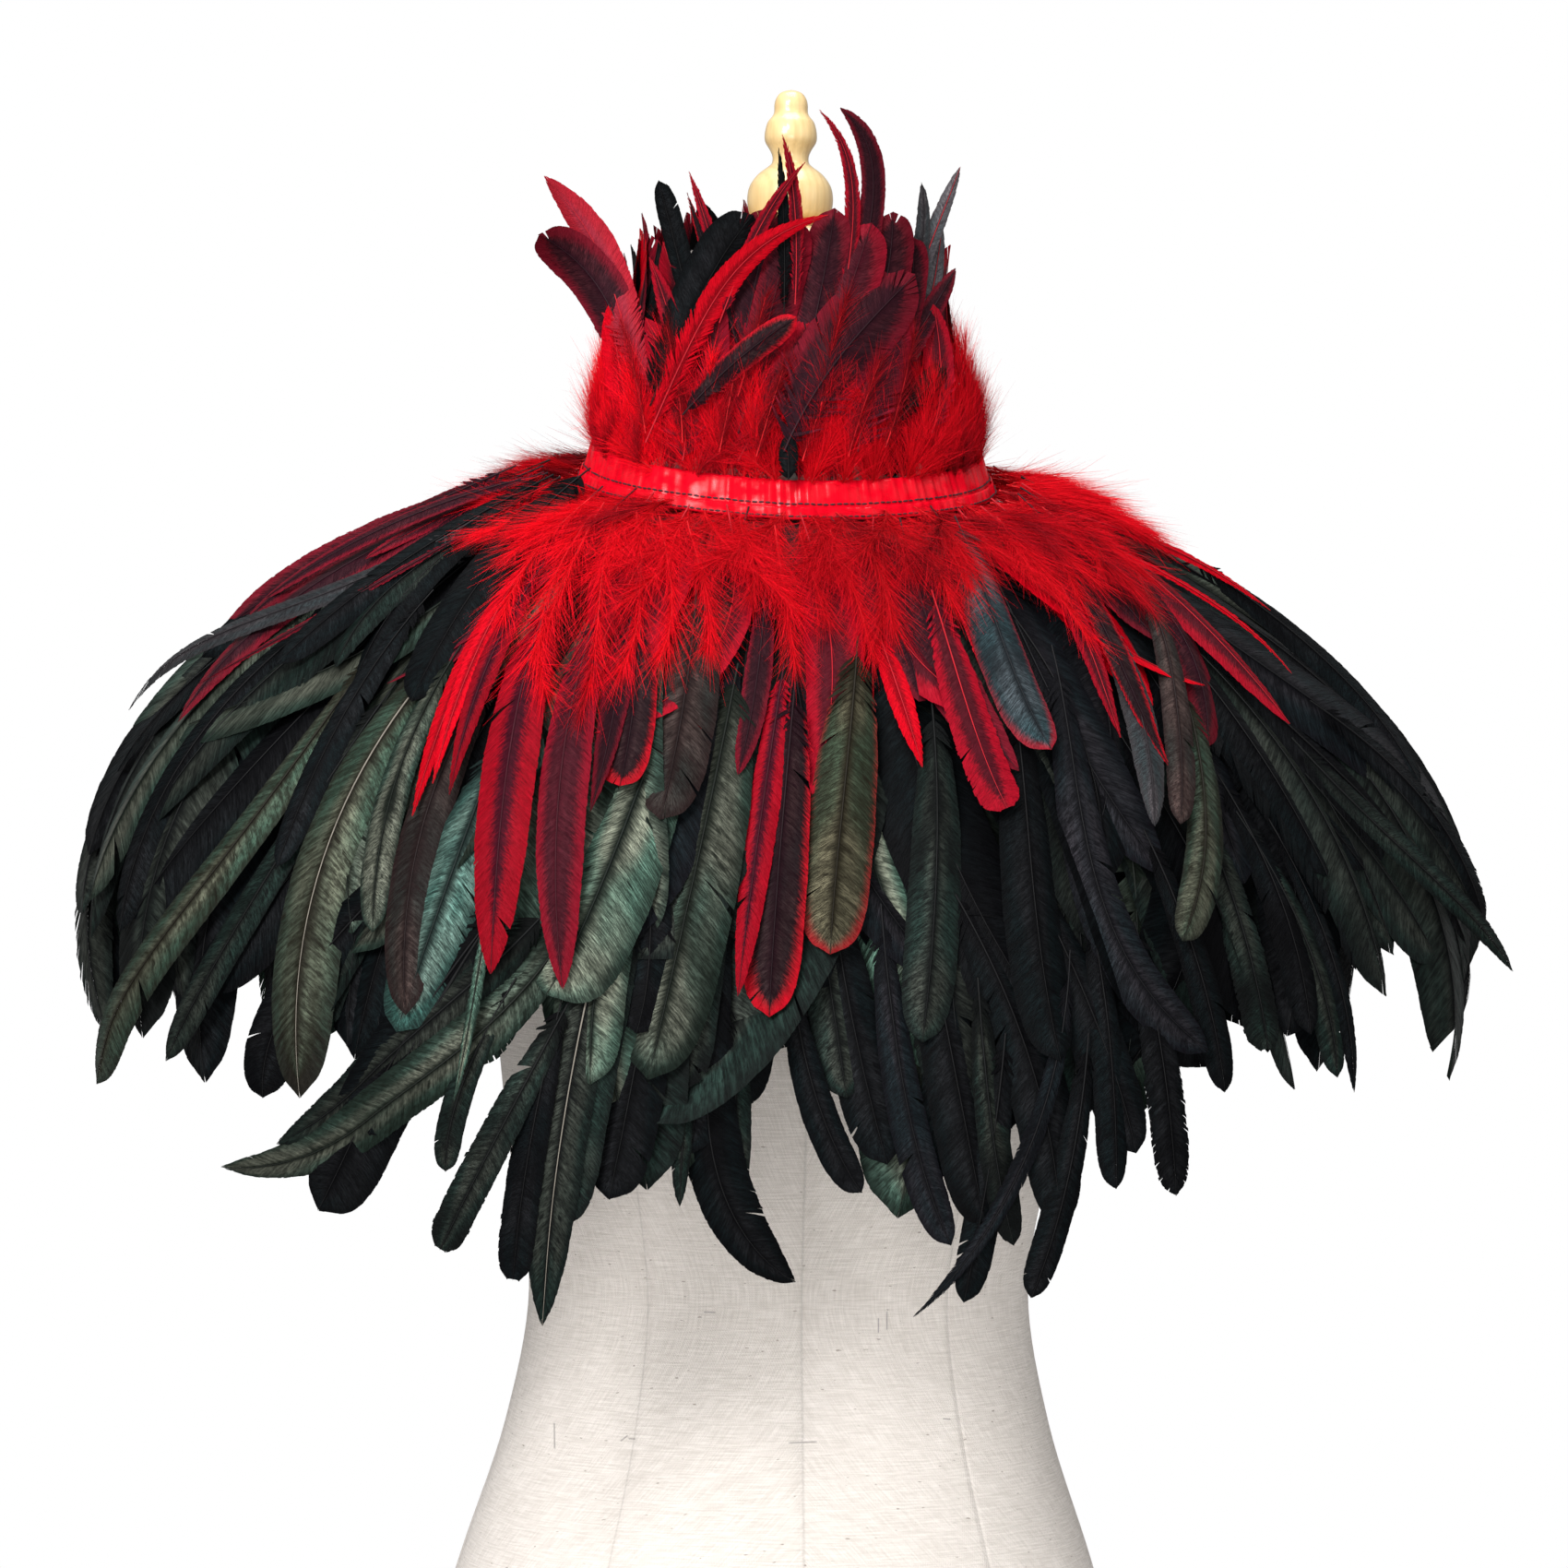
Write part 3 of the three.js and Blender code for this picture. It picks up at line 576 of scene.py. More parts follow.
DYES = {
    # colour near the shaft, colour of the rim, where the rim starts, gloss colour, share of gloss
    "black": ((0.0020, 0.0020, 0.0024), (0.002, 0.002, 0.0024), 0.9, (0.018, 0.019, 0.021), 0.5),
    "dim": ((0.0035, 0.0040, 0.0040), (0.004, 0.0045, 0.0045), 0.9, (0.050, 0.057, 0.047), 0.65),
    "green": ((0.006, 0.009, 0.007), (0.007, 0.010, 0.008), 0.9, (0.25, 0.27, 0.205), 0.95),
    "olive": ((0.006, 0.008, 0.006), (0.006, 0.009, 0.007), 0.9, (0.115, 0.122, 0.095), 0.95),
    "teal": ((0.006, 0.011, 0.010), (0.007, 0.012, 0.011), 0.9, (0.11, 0.165, 0.14), 0.95),
    "bronze": ((0.010, 0.009, 0.006), (0.011, 0.010, 0.008), 0.9, (0.105, 0.112, 0.080), 0.9),
    "grey": ((0.018, 0.016, 0.018), (0.03, 0.026, 0.028), 0.7, (0.10, 0.09, 0.095), 0.6),
    "silver": ((0.045, 0.037, 0.042), (0.07, 0.06, 0.065), 0.7, (0.20, 0.18, 0.19), 0.6),
    "violet": ((0.003, 0.003, 0.0038), (0.0035, 0.003, 0.0042), 0.9, (0.032, 0.030, 0.035), 0.55),
    "brown": ((0.012, 0.007, 0.007), (0.016, 0.008, 0.008), 0.9, (0.085, 0.058, 0.052), 0.6),
    "burgundy": ((0.016, 0.004, 0.007), (0.115, 0.005, 0.012), 0.75, (0.085, 0.020, 0.024), 0.4),
    "wine": ((0.035, 0.004, 0.008), (0.16, 0.004, 0.012), 0.7, (0.11, 0.022, 0.028), 0.35),
    "rimmed": ((0.010, 0.003, 0.005), (0.34, 0.003, 0.010), 0.9, (0.06, 0.035, 0.034), 0.4),
    "olive_rimmed": ((0.012, 0.010, 0.006), (0.24, 0.004, 0.010), 1.02, (0.12, 0.11, 0.07), 0.75),
    "blue_rimmed": ((0.008, 0.010, 0.012), (0.20, 0.004, 0.012), 1.02, (0.10, 0.125, 0.14), 0.6),
    "crimson": ((0.050, 0.004, 0.008), (0.24, 0.003, 0.011), 0.6, (0.13, 0.03, 0.035), 0.15),
    "scarlet": ((0.20, 0.001, 0.005), (0.46, 0.001, 0.008), 0.4, (0.5, 0.03, 0.04), 0.05),
    "streaked": ((0.035, 0.003, 0.008), (0.22, 0.002, 0.008), 0.4, (0.18, 0.02, 0.03), 0.15),
    "pink": ((0.24, 0.016, 0.03), (0.30, 0.010, 0.02), 0.5, (0.4, 0.09, 0.1), 0.1),
    "red_down": ((0.50, 0.001, 0.005), (0.76, 0.002, 0.012), 0.5, (0, 0, 0), 0.0),
    "deep_down": ((0.17, 0.001, 0.004), (0.34, 0.002, 0.009), 0.5, (0, 0, 0), 0.0),
    "black_down": ((0.003, 0.003, 0.004), (0.015, 0.003, 0.005), 0.5, (0, 0, 0), 0.0),
}
RED_SHAFT = (0.40, 0.012, 0.02)
PLUME_SHAFT = (0.5, 0.008, 0.012)
IVORY = (0.20, 0.18, 0.15)
FLUFF_REACH, FLUFF_BARBS = 17.0, 4  # down at a feather's root: length in mm, barbs for each mm


def outline_width(kind, share):
    table = np.array(OUTLINE[KIND[kind]["outline"]], float)
    fine = np.linspace(0, 1, 161)
    coarse = np.interp(fine, table[:, 0], table[:, 1])
    rounded = np.convolve(np.pad(coarse, 5, mode="edge"), np.ones(11) / 11, mode="valid")
    rounded[-6:] = np.interp(fine[-6:], [fine[-6], 1.0], [rounded[-6], table[-1, 1]])
    return np.interp(share, fine, rounded)


def axes_along(path, normals):
    """Directions along a path, across it and out of the feather's flat side, and the path's length."""
    ahead = np.gradient(path, axis=0)
    ahead = ahead / np.maximum(np.linalg.norm(ahead, axis=1, keepdims=True), 1e-9)
    side = np.cross(normals, ahead)
    side /= np.maximum(np.linalg.norm(side, axis=1, keepdims=True), 1e-9)
    return ahead, side, np.cross(ahead, side), np.linalg.norm(np.diff(path, axis=0), axis=1).sum()


def between(points, shares):
    """Points at shares of a sampled line."""
    at = np.clip(shares, 0, 1) * (len(points) - 1)
    low = np.minimum(at.astype(int), len(points) - 2)
    rest = (at - low)[:, None]
    return points[low] * (1 - rest) + points[low + 1] * rest


class Lines:
    """Collects barb roots and shaft lines, and turns them into one piece."""

    def __init__(self):
        self.barbs = {"root": [], "reach": [], "bend": [], "breadth": [], "end_breadth": []}
        self.barbs.update({"end_width": [], "downy": []})
        self.barbs.update({"inner_colour": [], "outer_colour": [], "gloss_colour": [], "gloss_share": [], "traits": []})
        self.shafts = []

    def add_barbs(self, **values):
        count = len(values["root"])
        for key, store in self.barbs.items():
            value = np.asarray(values[key], float)
            width = 1 if key in ("end_width", "downy", "gloss_share") else 3
            if value.ndim < 2 and width == 3:
                value = np.broadcast_to(value, (count, 3))
            store.append(np.broadcast_to(value.reshape(-1, width), (count, width)))

    def add_shaft(self, points, radii, colour):
        self.shafts.append((np.asarray(points), np.asarray(radii), colour))


def feather(lines, rng, path, normals, kind, width, dye, bare, twist, loose, fluff=0.0, fine=1.0, shaft_dye=None):
    """One feather along a path in mm. bare is the share of its length without a vane, loose the share with free barbs,
    fluff the share with down, and a low fine sets its barbs closer than those of its kind."""
    traits = KIND[kind]
    inner, outer, rim, gloss, gloss_share = DYES[dye]
    ahead, side, facing, length = axes_along(path, normals)
    roll = np.radians(twist) * np.linspace(0.35, 1, len(path))[:, None]
    side, facing = side * np.cos(roll) + facing * np.sin(roll), facing * np.cos(roll) - side * np.sin(roll)
    blade = length * (1 - bare)
    stations = np.linspace(0, 1, max(14, int(blade / (traits["spacing"] * fine))))
    parts = rng.uniform(0.15, 0.95, traits["splits"])
    colour_jitter = rng.uniform(0.82, 1.18)
    seed = rng.uniform(0, 100)
    for hand in (-1.0, 1.0):
        half = width / 2 * (1.0 + hand * rng.uniform(-0.18, 0.18))
        slant = traits["slant"] * half / blade
        ends = stations + slant * (1 - stations) ** 0.3 * (0.5 + stations / 2)
        for part in parts if hand > 0 else 1.1 - parts:
            push = np.exp(-np.abs(stations - part) / 0.035) * rng.uniform(0.1, 1.0) * traits["push"]
            ends = ends + np.where(stations > part, push, -push) * rng.choice([0.0, 1.0], p=[0.55, 0.45])
        ends = np.clip(ends, 0, 1)
        free = 1 - smooth((stations - loose * 0.5) / max(loose * 0.8, 0.01))
        reach_out = half * np.maximum(outline_width(kind, ends), 0.55 * free)
        at_root = bare + stations * (1 - bare) * 0.985
        at_end = bare + ends * (1 - bare)
        root = between(path, at_root)
        end = between(path, at_end) + hand * between(side, at_end) * reach_out[:, None]
        end -= between(facing, at_end) * (traits["cup"] * reach_out)[:, None]
        outline = np.gradient(end, axis=0)
        end += between(side, at_end) * (hand * reach_out * rng.normal(0.0, traits["ragged"] + 0.14 * free))[:, None]
        end += between(facing, at_end) * (rng.normal(0.05, 0.1, len(stations)) * free * half)[:, None]
        span = end - root
        size = np.linalg.norm(span, axis=1, keepdims=True)
        bend = between(ahead, at_root) * size * 0.16 - between(facing, at_root) * size * rng.uniform(0.02, 0.12)
        spacing = blade / len(stations)
        breadth = between(ahead, at_root) * spacing * 1.4
        length_out = np.linalg.norm(outline, axis=1, keepdims=True)
        longest = spacing * 1.7
        end_breadth = outline * np.minimum(1.45, longest / np.maximum(length_out, 1e-6))
        lift = between(facing, at_root) * spacing * rng.normal(0.0, 0.04, (len(stations), 1))
        pale = colour_jitter * rng.uniform(0.86, 1.1, (len(stations), 1))
        lines.add_barbs(
            root=root,
            reach=span - bend,
            bend=bend,
            breadth=breadth + lift,
            end_breadth=end_breadth + lift,
            end_width=traits["end"] * (1 - free) + 0.25 * free,
            downy=0.0,
            inner_colour=np.array(inner) * pale,
            outer_colour=np.array(outer) * pale,
            gloss_colour=np.array(gloss) * colour_jitter * rng.uniform(0.55, 1.3, (len(stations), 1)),
            gloss_share=gloss_share,
            traits=np.stack([np.full(len(stations), seed), stations, np.full(len(stations), rim)], axis=1),
        )
    radii = np.linspace(1.0, 0.2, len(path)) * (0.32 + width * 0.007)
    plain = RED_SHAFT if inner[0] > 0.04 else tuple(np.array(inner) * 1.2 + 0.003)
    lines.add_shaft(path + facing * 0.25, radii, shaft_dye or plain)
    if fluff > 0:
        count = int(fluff * length * FLUFF_BARBS)
        down(lines, rng, path, (ahead, side, facing), fluff, FLUFF_REACH, "red_down", count, 1.0)


def down(lines, rng, path, axes, share, reach, dye, count, tint_and_painted_light):
    """Loose barbs along the first share of a path, as at the root of each feather."""
    inner, outer = DYES[dye][:2]
    ahead, side, facing = axes
    shares = np.sort(rng.uniform(0.0, share, count))
    hand = rng.choice([-1.0, 1.0], count)[:, None]
    out = between(side, shares) * hand * rng.uniform(0.05, 0.95, (count, 1))
    out = out + between(facing, shares) * rng.normal(0.06, 0.2, (count, 1))
    out = out + between(ahead, shares) * rng.uniform(0.45, 1.9, (count, 1))
    out /= np.linalg.norm(out, axis=1, keepdims=True)
    size = reach * rng.uniform(0.3, 1.3, (count, 1)) * (0.5 + 0.5 * np.sin(np.pi * (0.2 + 0.7 * shares[:, None])))
    bend = between(ahead, shares) * size * rng.uniform(0.0, 0.35, (count, 1))
    bend = bend + rng.normal(0, 0.11, (count, 3)) * size + np.array([0, 0, -0.08]) * size
    breadth = np.cross(out, rng.normal(0, 1, (count, 3)))
    wide = rng.uniform(0.13, 0.25, (count, 1))
    breadth *= wide / np.maximum(np.linalg.norm(breadth, axis=1, keepdims=True), 1e-6)
    # The tint scales the red of each barb. Where callers raise it on the lit side, it is painted light.
    pale = tint_and_painted_light * rng.uniform(0.72, 1.12, (count, 1))
    lines.add_barbs(
        root=between(path, shares),
        reach=out * size,
        bend=bend,
        breadth=breadth,
        end_breadth=breadth,
        end_width=0.15,
        downy=1.0,
        inner_colour=np.array(inner) * pale,
        outer_colour=np.array(outer) * pale,
        gloss_colour=(0.0, 0.0, 0.0),
        gloss_share=0.0,
        traits=np.stack([rng.uniform(0, 100, count), shares, np.full(count, 0.5)], axis=1),
    )


print("feather kinds:", ", ".join(KIND), "and down")

# %% [markdown]
# ## Finishes of feather
#
# The vane of a rooster's tail feather is nearly black. Its gloss is green, teal
# or bronze, is strongest along the middle of each half and breaks up in streaks
# that run with the barbs. Each barb carries its own dye, so one material serves
# all vanes. Dyed feathers are dark near the shaft and red at the rim, where the
# dye took. Down scatters light and shows no gloss.

# %% Vane, down and shaft materials
def barb_streaks(tree):
    """Fine streaks that run along each barb."""
    place, traits = attribute(tree, "barb_place", 1), attribute(tree, "traits", 1)
    line = traits.part(1) * 61.0 + place.part(1) * 0.9
    spot = together(tree, place.part(0) * 1.6, line, traits.part(0))
    return noise(tree, spot, 3.2, 3.0, 0.62)


def gloss_mask(tree):
    place, traits = attribute(tree, "barb_place", 1), attribute(tree, "traits", 1)
    share = attribute(tree, "gloss_share", 2)
    middle = place.part(0).step(0.0, 0.3) * (1.0 - place.part(0).step(0.6, 1.0) * 0.7) * traits.part(1).step(0.01, 0.2)
    wide = noise(tree, together(tree, place.part(0) * 0.5, traits.part(1) * 1.7, traits.part(0)), 1.4, 1.0)
    streaks = barb_streaks(tree).step(0.36, 0.66)
    cracks = noise(tree, together(tree, place.part(0) * 1.6, traits.part(1) * 130.0, traits.part(0)), 1.0, 1.0)
    broken = (streaks * 0.75 + 0.25) * (cracks.step(0.27, 0.34) * 0.8 + 0.2)
    return (share * middle * wide.step(0.24, 0.52) * broken).clamp()


def gloss_tone(tree):
    """The gloss turns from its own colour to a deeper, colder one in broad patches and at the rim."""
    place, traits = attribute(tree, "barb_place", 1), attribute(tree, "traits", 1)
    patches = noise(tree, together(tree, place.part(0) * 0.7, traits.part(1) * 2.2, traits.part(0) + 40.0), 1.3, 1.0)
    share = (patches + place.part(0) * 0.35 - 0.6).step(-0.12, 0.22)
    warm = attribute(tree, "gloss_colour")
    return mix_colours(tree, share, warm, shade_colour(tree, warm, (0.38, 0.66, 0.66, 1)))


def vane_colour(tree):
    place, traits = attribute(tree, "barb_place", 1), attribute(tree, "traits", 1)
    uneven = (barb_streaks(tree) - 0.5) * 0.7
    near_tip = traits.part(1) ** 5.0
    share = (place.part(0) + uneven + near_tip * 0.5 - traits.part(2)).step(-0.22, 0.2)
    dyed = mix_colours(tree, share, attribute(tree, "inner_colour"), attribute(tree, "outer_colour"))
    dyed = shade_colour(tree, dyed, barb_streaks(tree) * 1.5 + 0.25)
    return mix_colours(tree, gloss_mask(tree), dyed, gloss_tone(tree))


vane = finish_of(
    "feather_vane",
    vane_colour,
    {"Specular IOR Level": 0.02},
    roughness=lambda tree: barb_streaks(tree) * 0.25 + 0.3,
    metallic=lambda tree: gloss_mask(tree) * 0.85,
    bump=lambda tree: (barb_streaks(tree), 0.0004),
)
fluffy = finish_of(
    "feather_down",
    lambda tree: mix_colours(
        tree, attribute(tree, "barb_place", 1).part(0), attribute(tree, "inner_colour"), attribute(tree, "outer_colour")
    ),
    {"Roughness": 0.9, "Specular IOR Level": 0.1},
)
quill = finish_of(
    "feather_shaft",
    lambda tree: shade_colour(
        tree, attribute(tree, "shaft_colour"), noise(tree, object_place(tree), 160.0) * 0.6 + 0.7
    ),
    {"Roughness": 0.5, "Specular IOR Level": 0.12},
)
print("feather finishes: vane, down, shaft")

# %% [markdown]
# ## From lines to a mesh
#
# Feathers are strung on a tape before they are sewn on, and here too a whole row
# is one piece. Its barb roots and shafts are stored as points with attributes,
# and one modifier grows them all. An object for each feather would be easier to
# move, but hundreds of them are slow. The mesh is taken from the evaluated
# object, so no modifier is left on the piece.

# %% Grow a piece from its lines
def grow(name, lines, node, segments, seed):
    """Makes one piece of feathers, which takes the place of a solid."""
    stores = {key: np.concatenate(value) for key, value in lines.barbs.items()}
    roots = stores["root"] * MM
    count = len(roots)
    points, edges, radii, colours = [roots], [], [np.zeros(count)], [np.zeros((count, 3))]
    total = count
    for path, widths, colour in lines.shafts:
        edges += [(total + i, total + i + 1) for i in range(len(path) - 1)]
        points.append(path * MM)
        radii.append(widths * MM)
        colours.append(np.tile(colour, (len(path), 1)))
        total += len(path)
    mesh = bpy.data.meshes.new(name + "_lines")
    mesh.from_pydata(np.concatenate(points).tolist(), edges, [])

    def store(key, kind, values):
        made = mesh.attributes.new(key, kind, "POINT")
        field = {"FLOAT": "value", "FLOAT_VECTOR": "vector", "FLOAT_COLOR": "color"}[kind]
        made.data.foreach_set(field, np.ascontiguousarray(values, np.float32).ravel())

    rest = total - count
    pad = lambda values: np.concatenate([values, np.zeros((rest, values.shape[1]))])
    for key in ("reach", "bend", "breadth", "end_breadth"):
        store(key, "FLOAT_VECTOR", pad(stores[key] * MM))
    store("traits", "FLOAT_VECTOR", pad(stores["traits"]))
    for key in ("inner_colour", "outer_colour", "gloss_colour"):
        store(key, "FLOAT_COLOR", np.concatenate([pad(stores[key]), np.ones((total, 1))], axis=1))
    for key in ("end_width", "downy", "gloss_share"):
        store(key, "FLOAT", pad(stores[key]))
    store("on_shaft", "FLOAT", np.arange(total) >= count)
    store("shaft_radius", "FLOAT", np.concatenate(radii))
    store("shaft_colour", "FLOAT_COLOR", np.concatenate([np.concatenate(colours), np.ones((total, 1))], axis=1))

    source = link(name + "_lines", mesh)
    modifier = source.modifiers.new("plumage", "NODES")
    modifier.node_group = PLUMAGE
    given = {"Barb segments": segments, "Down segments": 1, "Seed": seed, "Stray tips": 0.6 * MM, "Shaft sides": 4}
    given.update({"Vane finish": vane, "Down finish": fluffy, "Shaft finish": quill})
    for item in PLUMAGE.interface.items_tree:
        if item.name in given:
            modifier[item.identifier] = given[item.name]
    evaluated = source.evaluated_get(bpy.context.evaluated_depsgraph_get())
    grown = bpy.data.meshes.new_from_object(evaluated)
    grown.name = name
    bpy.data.objects.remove(source)
    for used_up in "reach bend breadth end_breadth end_width downy on_shaft shaft_radius stray".split():
        if used_up in grown.attributes:
            grown.attributes.remove(grown.attributes[used_up])
    piece = link(name, grown)
    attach(piece, "root")
    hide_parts(node)
    triangles = sum(len(p.vertices) - 2 for p in grown.polygons)
    print(name, "barbs", count, "shafts", len(lines.shafts), "triangles", triangles)


# %% [markdown]
# ## Feathers on the cape
#
# A row is sewn to the yoke along its quills. Each feather starts at a length
# from the neckline and follows the fall of the cape. Its path is a soft curve in
# direction and length, so it sways sideways as real ones do, and it lifts away
# a little towards the tip.

# %% Paths on the cape and collar
def soft_curve(root, middle, tip, steps):
    """A curve through three points, as columns of direction, length and lift."""
    t = np.linspace(0, 1, steps)[:, None]
    root, middle, tip = np.array(root, float), np.array(middle, float), np.array(tip, float)
    bend = 2 * middle - (root + tip) / 2
    return (root * (1 - t) ** 2 + bend * 2 * t * (1 - t) + tip * t**2).T


def cape_path(root, middle, tip, steps=26):
    """root, middle and tip are (direction, length, lift) on the cape."""
    direction, length, lift = soft_curve(root, middle, tip, steps)
    path = cape_point(direction, length, lift)
    return path, cape_point(direction, length, lift + 1.0) - path


def collar_path(root, middle, tip, row, steps=22):
    direction, length, lift = soft_curve(root, middle, tip, steps)
    path = collar_point(direction, length, lift, row["inset"], row["shape"])
    return path, collar_point(direction, length, lift + 1.0, row["inset"], row["shape"]) - path


def facing_camera(path, normals, share):
    """Normals turned partly to the camera, so that a feather shows more of its flat side."""
    towards = STAND / MM - path
    towards /= np.linalg.norm(towards, axis=1, keepdims=True)
    turned = normals * (1 - share) + towards * share
    return turned / np.linalg.norm(turned, axis=1, keepdims=True)


def pick(rng, choices):
    """One name from a dict of name to weight."""
    names = list(choices)
    weights = np.array([choices[n] for n in names], float)
    return names[int(rng.choice(len(names), p=weights / weights.sum()))]


print("paths ready")

# %% [markdown]
# ## The rows of the cape
#
# Long black feathers hang lowest, glossy green ones over them and red ones near
# the neck. Each row is a rule: how many feathers, where they start, how much of
# the way to the hem they reach and how much that varies. The dyes change round
# the cape, so a second table lists them by side.

# %% Cape rows
DARK = {"black": 8, "dim": 4, "violet": 1, "olive": 1}
GLOSSY = {"green": 2, "olive": 3, "teal": 1, "bronze": 3, "dim": 3, "violet": 1}
RED = {"crimson": 4, "rimmed": 3, "burgundy": 3, "scarlet": 2}
DUSKY = {"burgundy": 4, "black": 3, "rimmed": 1, "dim": 2}
SIDES = [
    # side as seen from the front: from, to (degrees), dyes of the hem rows, the green row and the crimson row
    ("left front", -62, -4, {"dim": 4, "olive": 3, "black": 4, "green": 1}, GLOSSY, RED),
    ("right front", -4, 60, DARK, {"dim": 3, "bronze": 1, "violet": 2, "black": 5}, RED),
    ("right side", 60, 135, DARK, DARK, {"crimson": 3, "burgundy": 3, "black": 2}),
    ("back", 135, 230, {"black": 4, "dim": 4, "olive": 2}, GLOSSY, RED),
    ("left side", 230, 298, {"black": 4, "dim": 4, "olive": 1}, {"dim": 4, "black": 4, "olive": 2}, DUSKY),
]
HEM_DYES, GREEN_DYES, RED_DYES = 3, 4, 5  # columns of SIDES
COLUMNS = "piece node arc count start hem spread width lift sway column kinds bare fluff seed".split()
TAIL, BROAD = {"tail": 1}, {"tail": 4, "body": 1}
ROWS = [
    # piece, node, arc (degrees), count, start (mm), share of the hem and its spread, width (mm),
    # lift at root and tip (mm), sway (degrees), column of SIDES, kinds, bare share, share with fluff, seed
    ("tail_under_right", "under_layer_right", (0, 180), 46, 70, 0.84, 0.16, 40, (0.6, 1.0), 5, None, TAIL, 0.1, 0, 11),
    ("tail_under_left", "under_layer_left", (180, 360), 46, 70, 0.84, 0.16, 40, (0.6, 1.0), 5, None, TAIL, 0.1, 0, 12),
    ("tail_row_under", "fringe_long_under", (0, 360), 40, 60, 0.95, 0.12, 43, (6.5, 3.0), 9, HEM_DYES,
     {"tail": 5, "worn": 1}, 0.1, 0, 13),
    ("tail_row_upper", "fringe_long_upper", (0, 360), 40, 46, 0.88, 0.14, 42, (9.5, 8.0), 9, HEM_DYES,
     {"tail": 6, "worn": 1}, 0.1, 0, 14),
    ("green_row", "fringe_middle", (0, 360), 44, 32, 0.72, 0.16, 37, (13, 11), 8, GREEN_DYES, BROAD, 0.1, 0.08, 15),
    ("crimson_row", "fringe_short", (0, 360), 44, 16, 0.52, 0.2, 25, (16.5, 16), 8, RED_DYES,
     {"body": 3, "hackle": 1, "tail": 1}, 0.12, 0.25, 16),
]
ROWS = [dict(zip(COLUMNS, row)) for row in ROWS]
SIDE_TURN = 0.42  # how far the feathers beside the shoulders turn their flat side to the camera


def side_of(direction):
    turned = np.mod(direction, 360)
    for side in SIDES:
        low, high = side[1] % 360, side[2] % 360
        if (low <= turned < high) if low < high else (turned >= low or turned < high):
            return side
    return SIDES[-1]


def cape_row(lines, row):
    rng = np.random.default_rng(row["seed"])
    low, high = row["arc"]
    for i in range(row["count"]):
        direction = low + (i + 0.5 + rng.uniform(-0.3, 0.3)) * (high - low) / row["count"]
        hem = fall_at(direction)[..., 4]
        start = row["start"] + rng.uniform(-4, 4)
        end = hem * (row["hem"] + rng.uniform(-0.5, 0.5) * row["spread"])
        from_front = (direction + (180 - VIEW["azimuth"])) % 360 - 180
        # In front the rows end higher, most of all in the middle, where the form shows.
        if abs(from_front) < 70:
            end *= 0.72 if row["piece"] == "crimson_row" else 0.92
        if row["column"] not in (GREEN_DYES, RED_DYES):
            end *= 1 - 0.12 * math.exp(-((from_front / 9) ** 2))
        sway = rng.normal(0, row["sway"])
        bow = rng.normal(0, row["sway"] * 0.35)
        path, normals = cape_path(
            (direction, start, row["lift"][0] + rng.uniform(-1.0, 1.0)),
            (direction + sway * 0.25 + bow, (start + end) / 2, sum(row["lift"]) / 2),
            (direction + sway, end, row["lift"][1] + rng.uniform(-1.5, 2.5)),
        )
        beside = math.exp(-(((abs(from_front) - 88) / 30) ** 2))
        normals = facing_camera(path, normals, SIDE_TURN * beside)
        kind = pick(rng, row["kinds"])
        width = row["width"] * rng.uniform(0.8, 1.2) * (0.5 if kind == "hackle" else 1.0)
        dye = pick(rng, side_of(direction)[row["column"]] if row["column"] else {"black": 3, "dim": 2})
        loose = 0.12 if row["column"] == RED_DYES else 0.08
        fine = 1.0 if row["column"] else 1.25
        twist = rng.normal(0, 12)
        feather(lines, rng, path, normals, kind, width, dye, row["bare"], twist, loose, row["fluff"], fine)


PIECES = {}
for row in ROWS:
    lines = Lines()
    cape_row(lines, row)
    PIECES[row["piece"]] = (lines, row)
print("rows:", len(ROWS), "feathers:", sum(row["count"] for row in ROWS))

# %% [markdown]
# ## Feathers that the picture shows one by one
#
# The rows above give the mass. What makes this cape look like itself are the
# feathers that lie on top. Each of them is listed with the places of its root,
# middle and tip in the picture. A search over directions and lengths finds the
# spot of the cape seen at such a place, so the feather lies on the cape and not
# on a flat card.

# %% Finding a place of the cape from a place in the picture
SEEN_GRIDS = {}


def seen_grid(name, surface, lift, reach):
    """The pixels of a grid of directions and lengths at one lift."""
    key = (name, round(float(lift), 2))
    if key not in SEEN_GRIDS:
        directions, lengths = np.meshgrid(np.arange(-97.0, 84.0, 1.5), np.arange(0.0, reach, 3.0), indexing="ij")
        x, y = in_picture(surface(directions, lengths, lift) * MM)
        SEEN_GRIDS[key] = (directions, lengths, x, y)
    return SEEN_GRIDS[key]


def find_place(name, surface, spot, lift, reach):
    """Direction, length and lift seen at a pixel. The lift grows until the pixel is reached."""
    best = None
    for more in range(0, 64, 4):
        directions, lengths, x, y = seen_grid(name, surface, lift + more, reach)
        gap = np.hypot(x - spot[0], y - spot[1])
        k = np.unravel_index(np.argmin(gap), gap.shape)
        found = np.array([directions[k], lengths[k]])
        for _ in range(5):
            tries = np.array([found, found + (0.1, 0), found + (0, 0.1)])
            px, py = in_picture(surface(tries[:, 0], tries[:, 1], lift + more) * MM)
            slopes = np.array([[px[1] - px[0], px[2] - px[0]], [py[1] - py[0], py[2] - py[0]]]) / 0.1
            step = np.linalg.lstsq(slopes, np.array([spot[0] - px[0], spot[1] - py[0]]), rcond=0.02)[0]
            found = found + np.clip(step, -4, 4)
            found = np.array([np.clip(found[0], -99, 85), np.clip(found[1], 0, reach)])
        px, py = in_picture(surface(found[0], found[1], lift + more) * MM)
        away = float(np.hypot(px - spot[0], py - spot[1]))
        if best is None or away < best[0] - 1.5:
            best = (away, (found[0], found[1], lift + more))
        if away < 2.5:
            break
    return best[1]


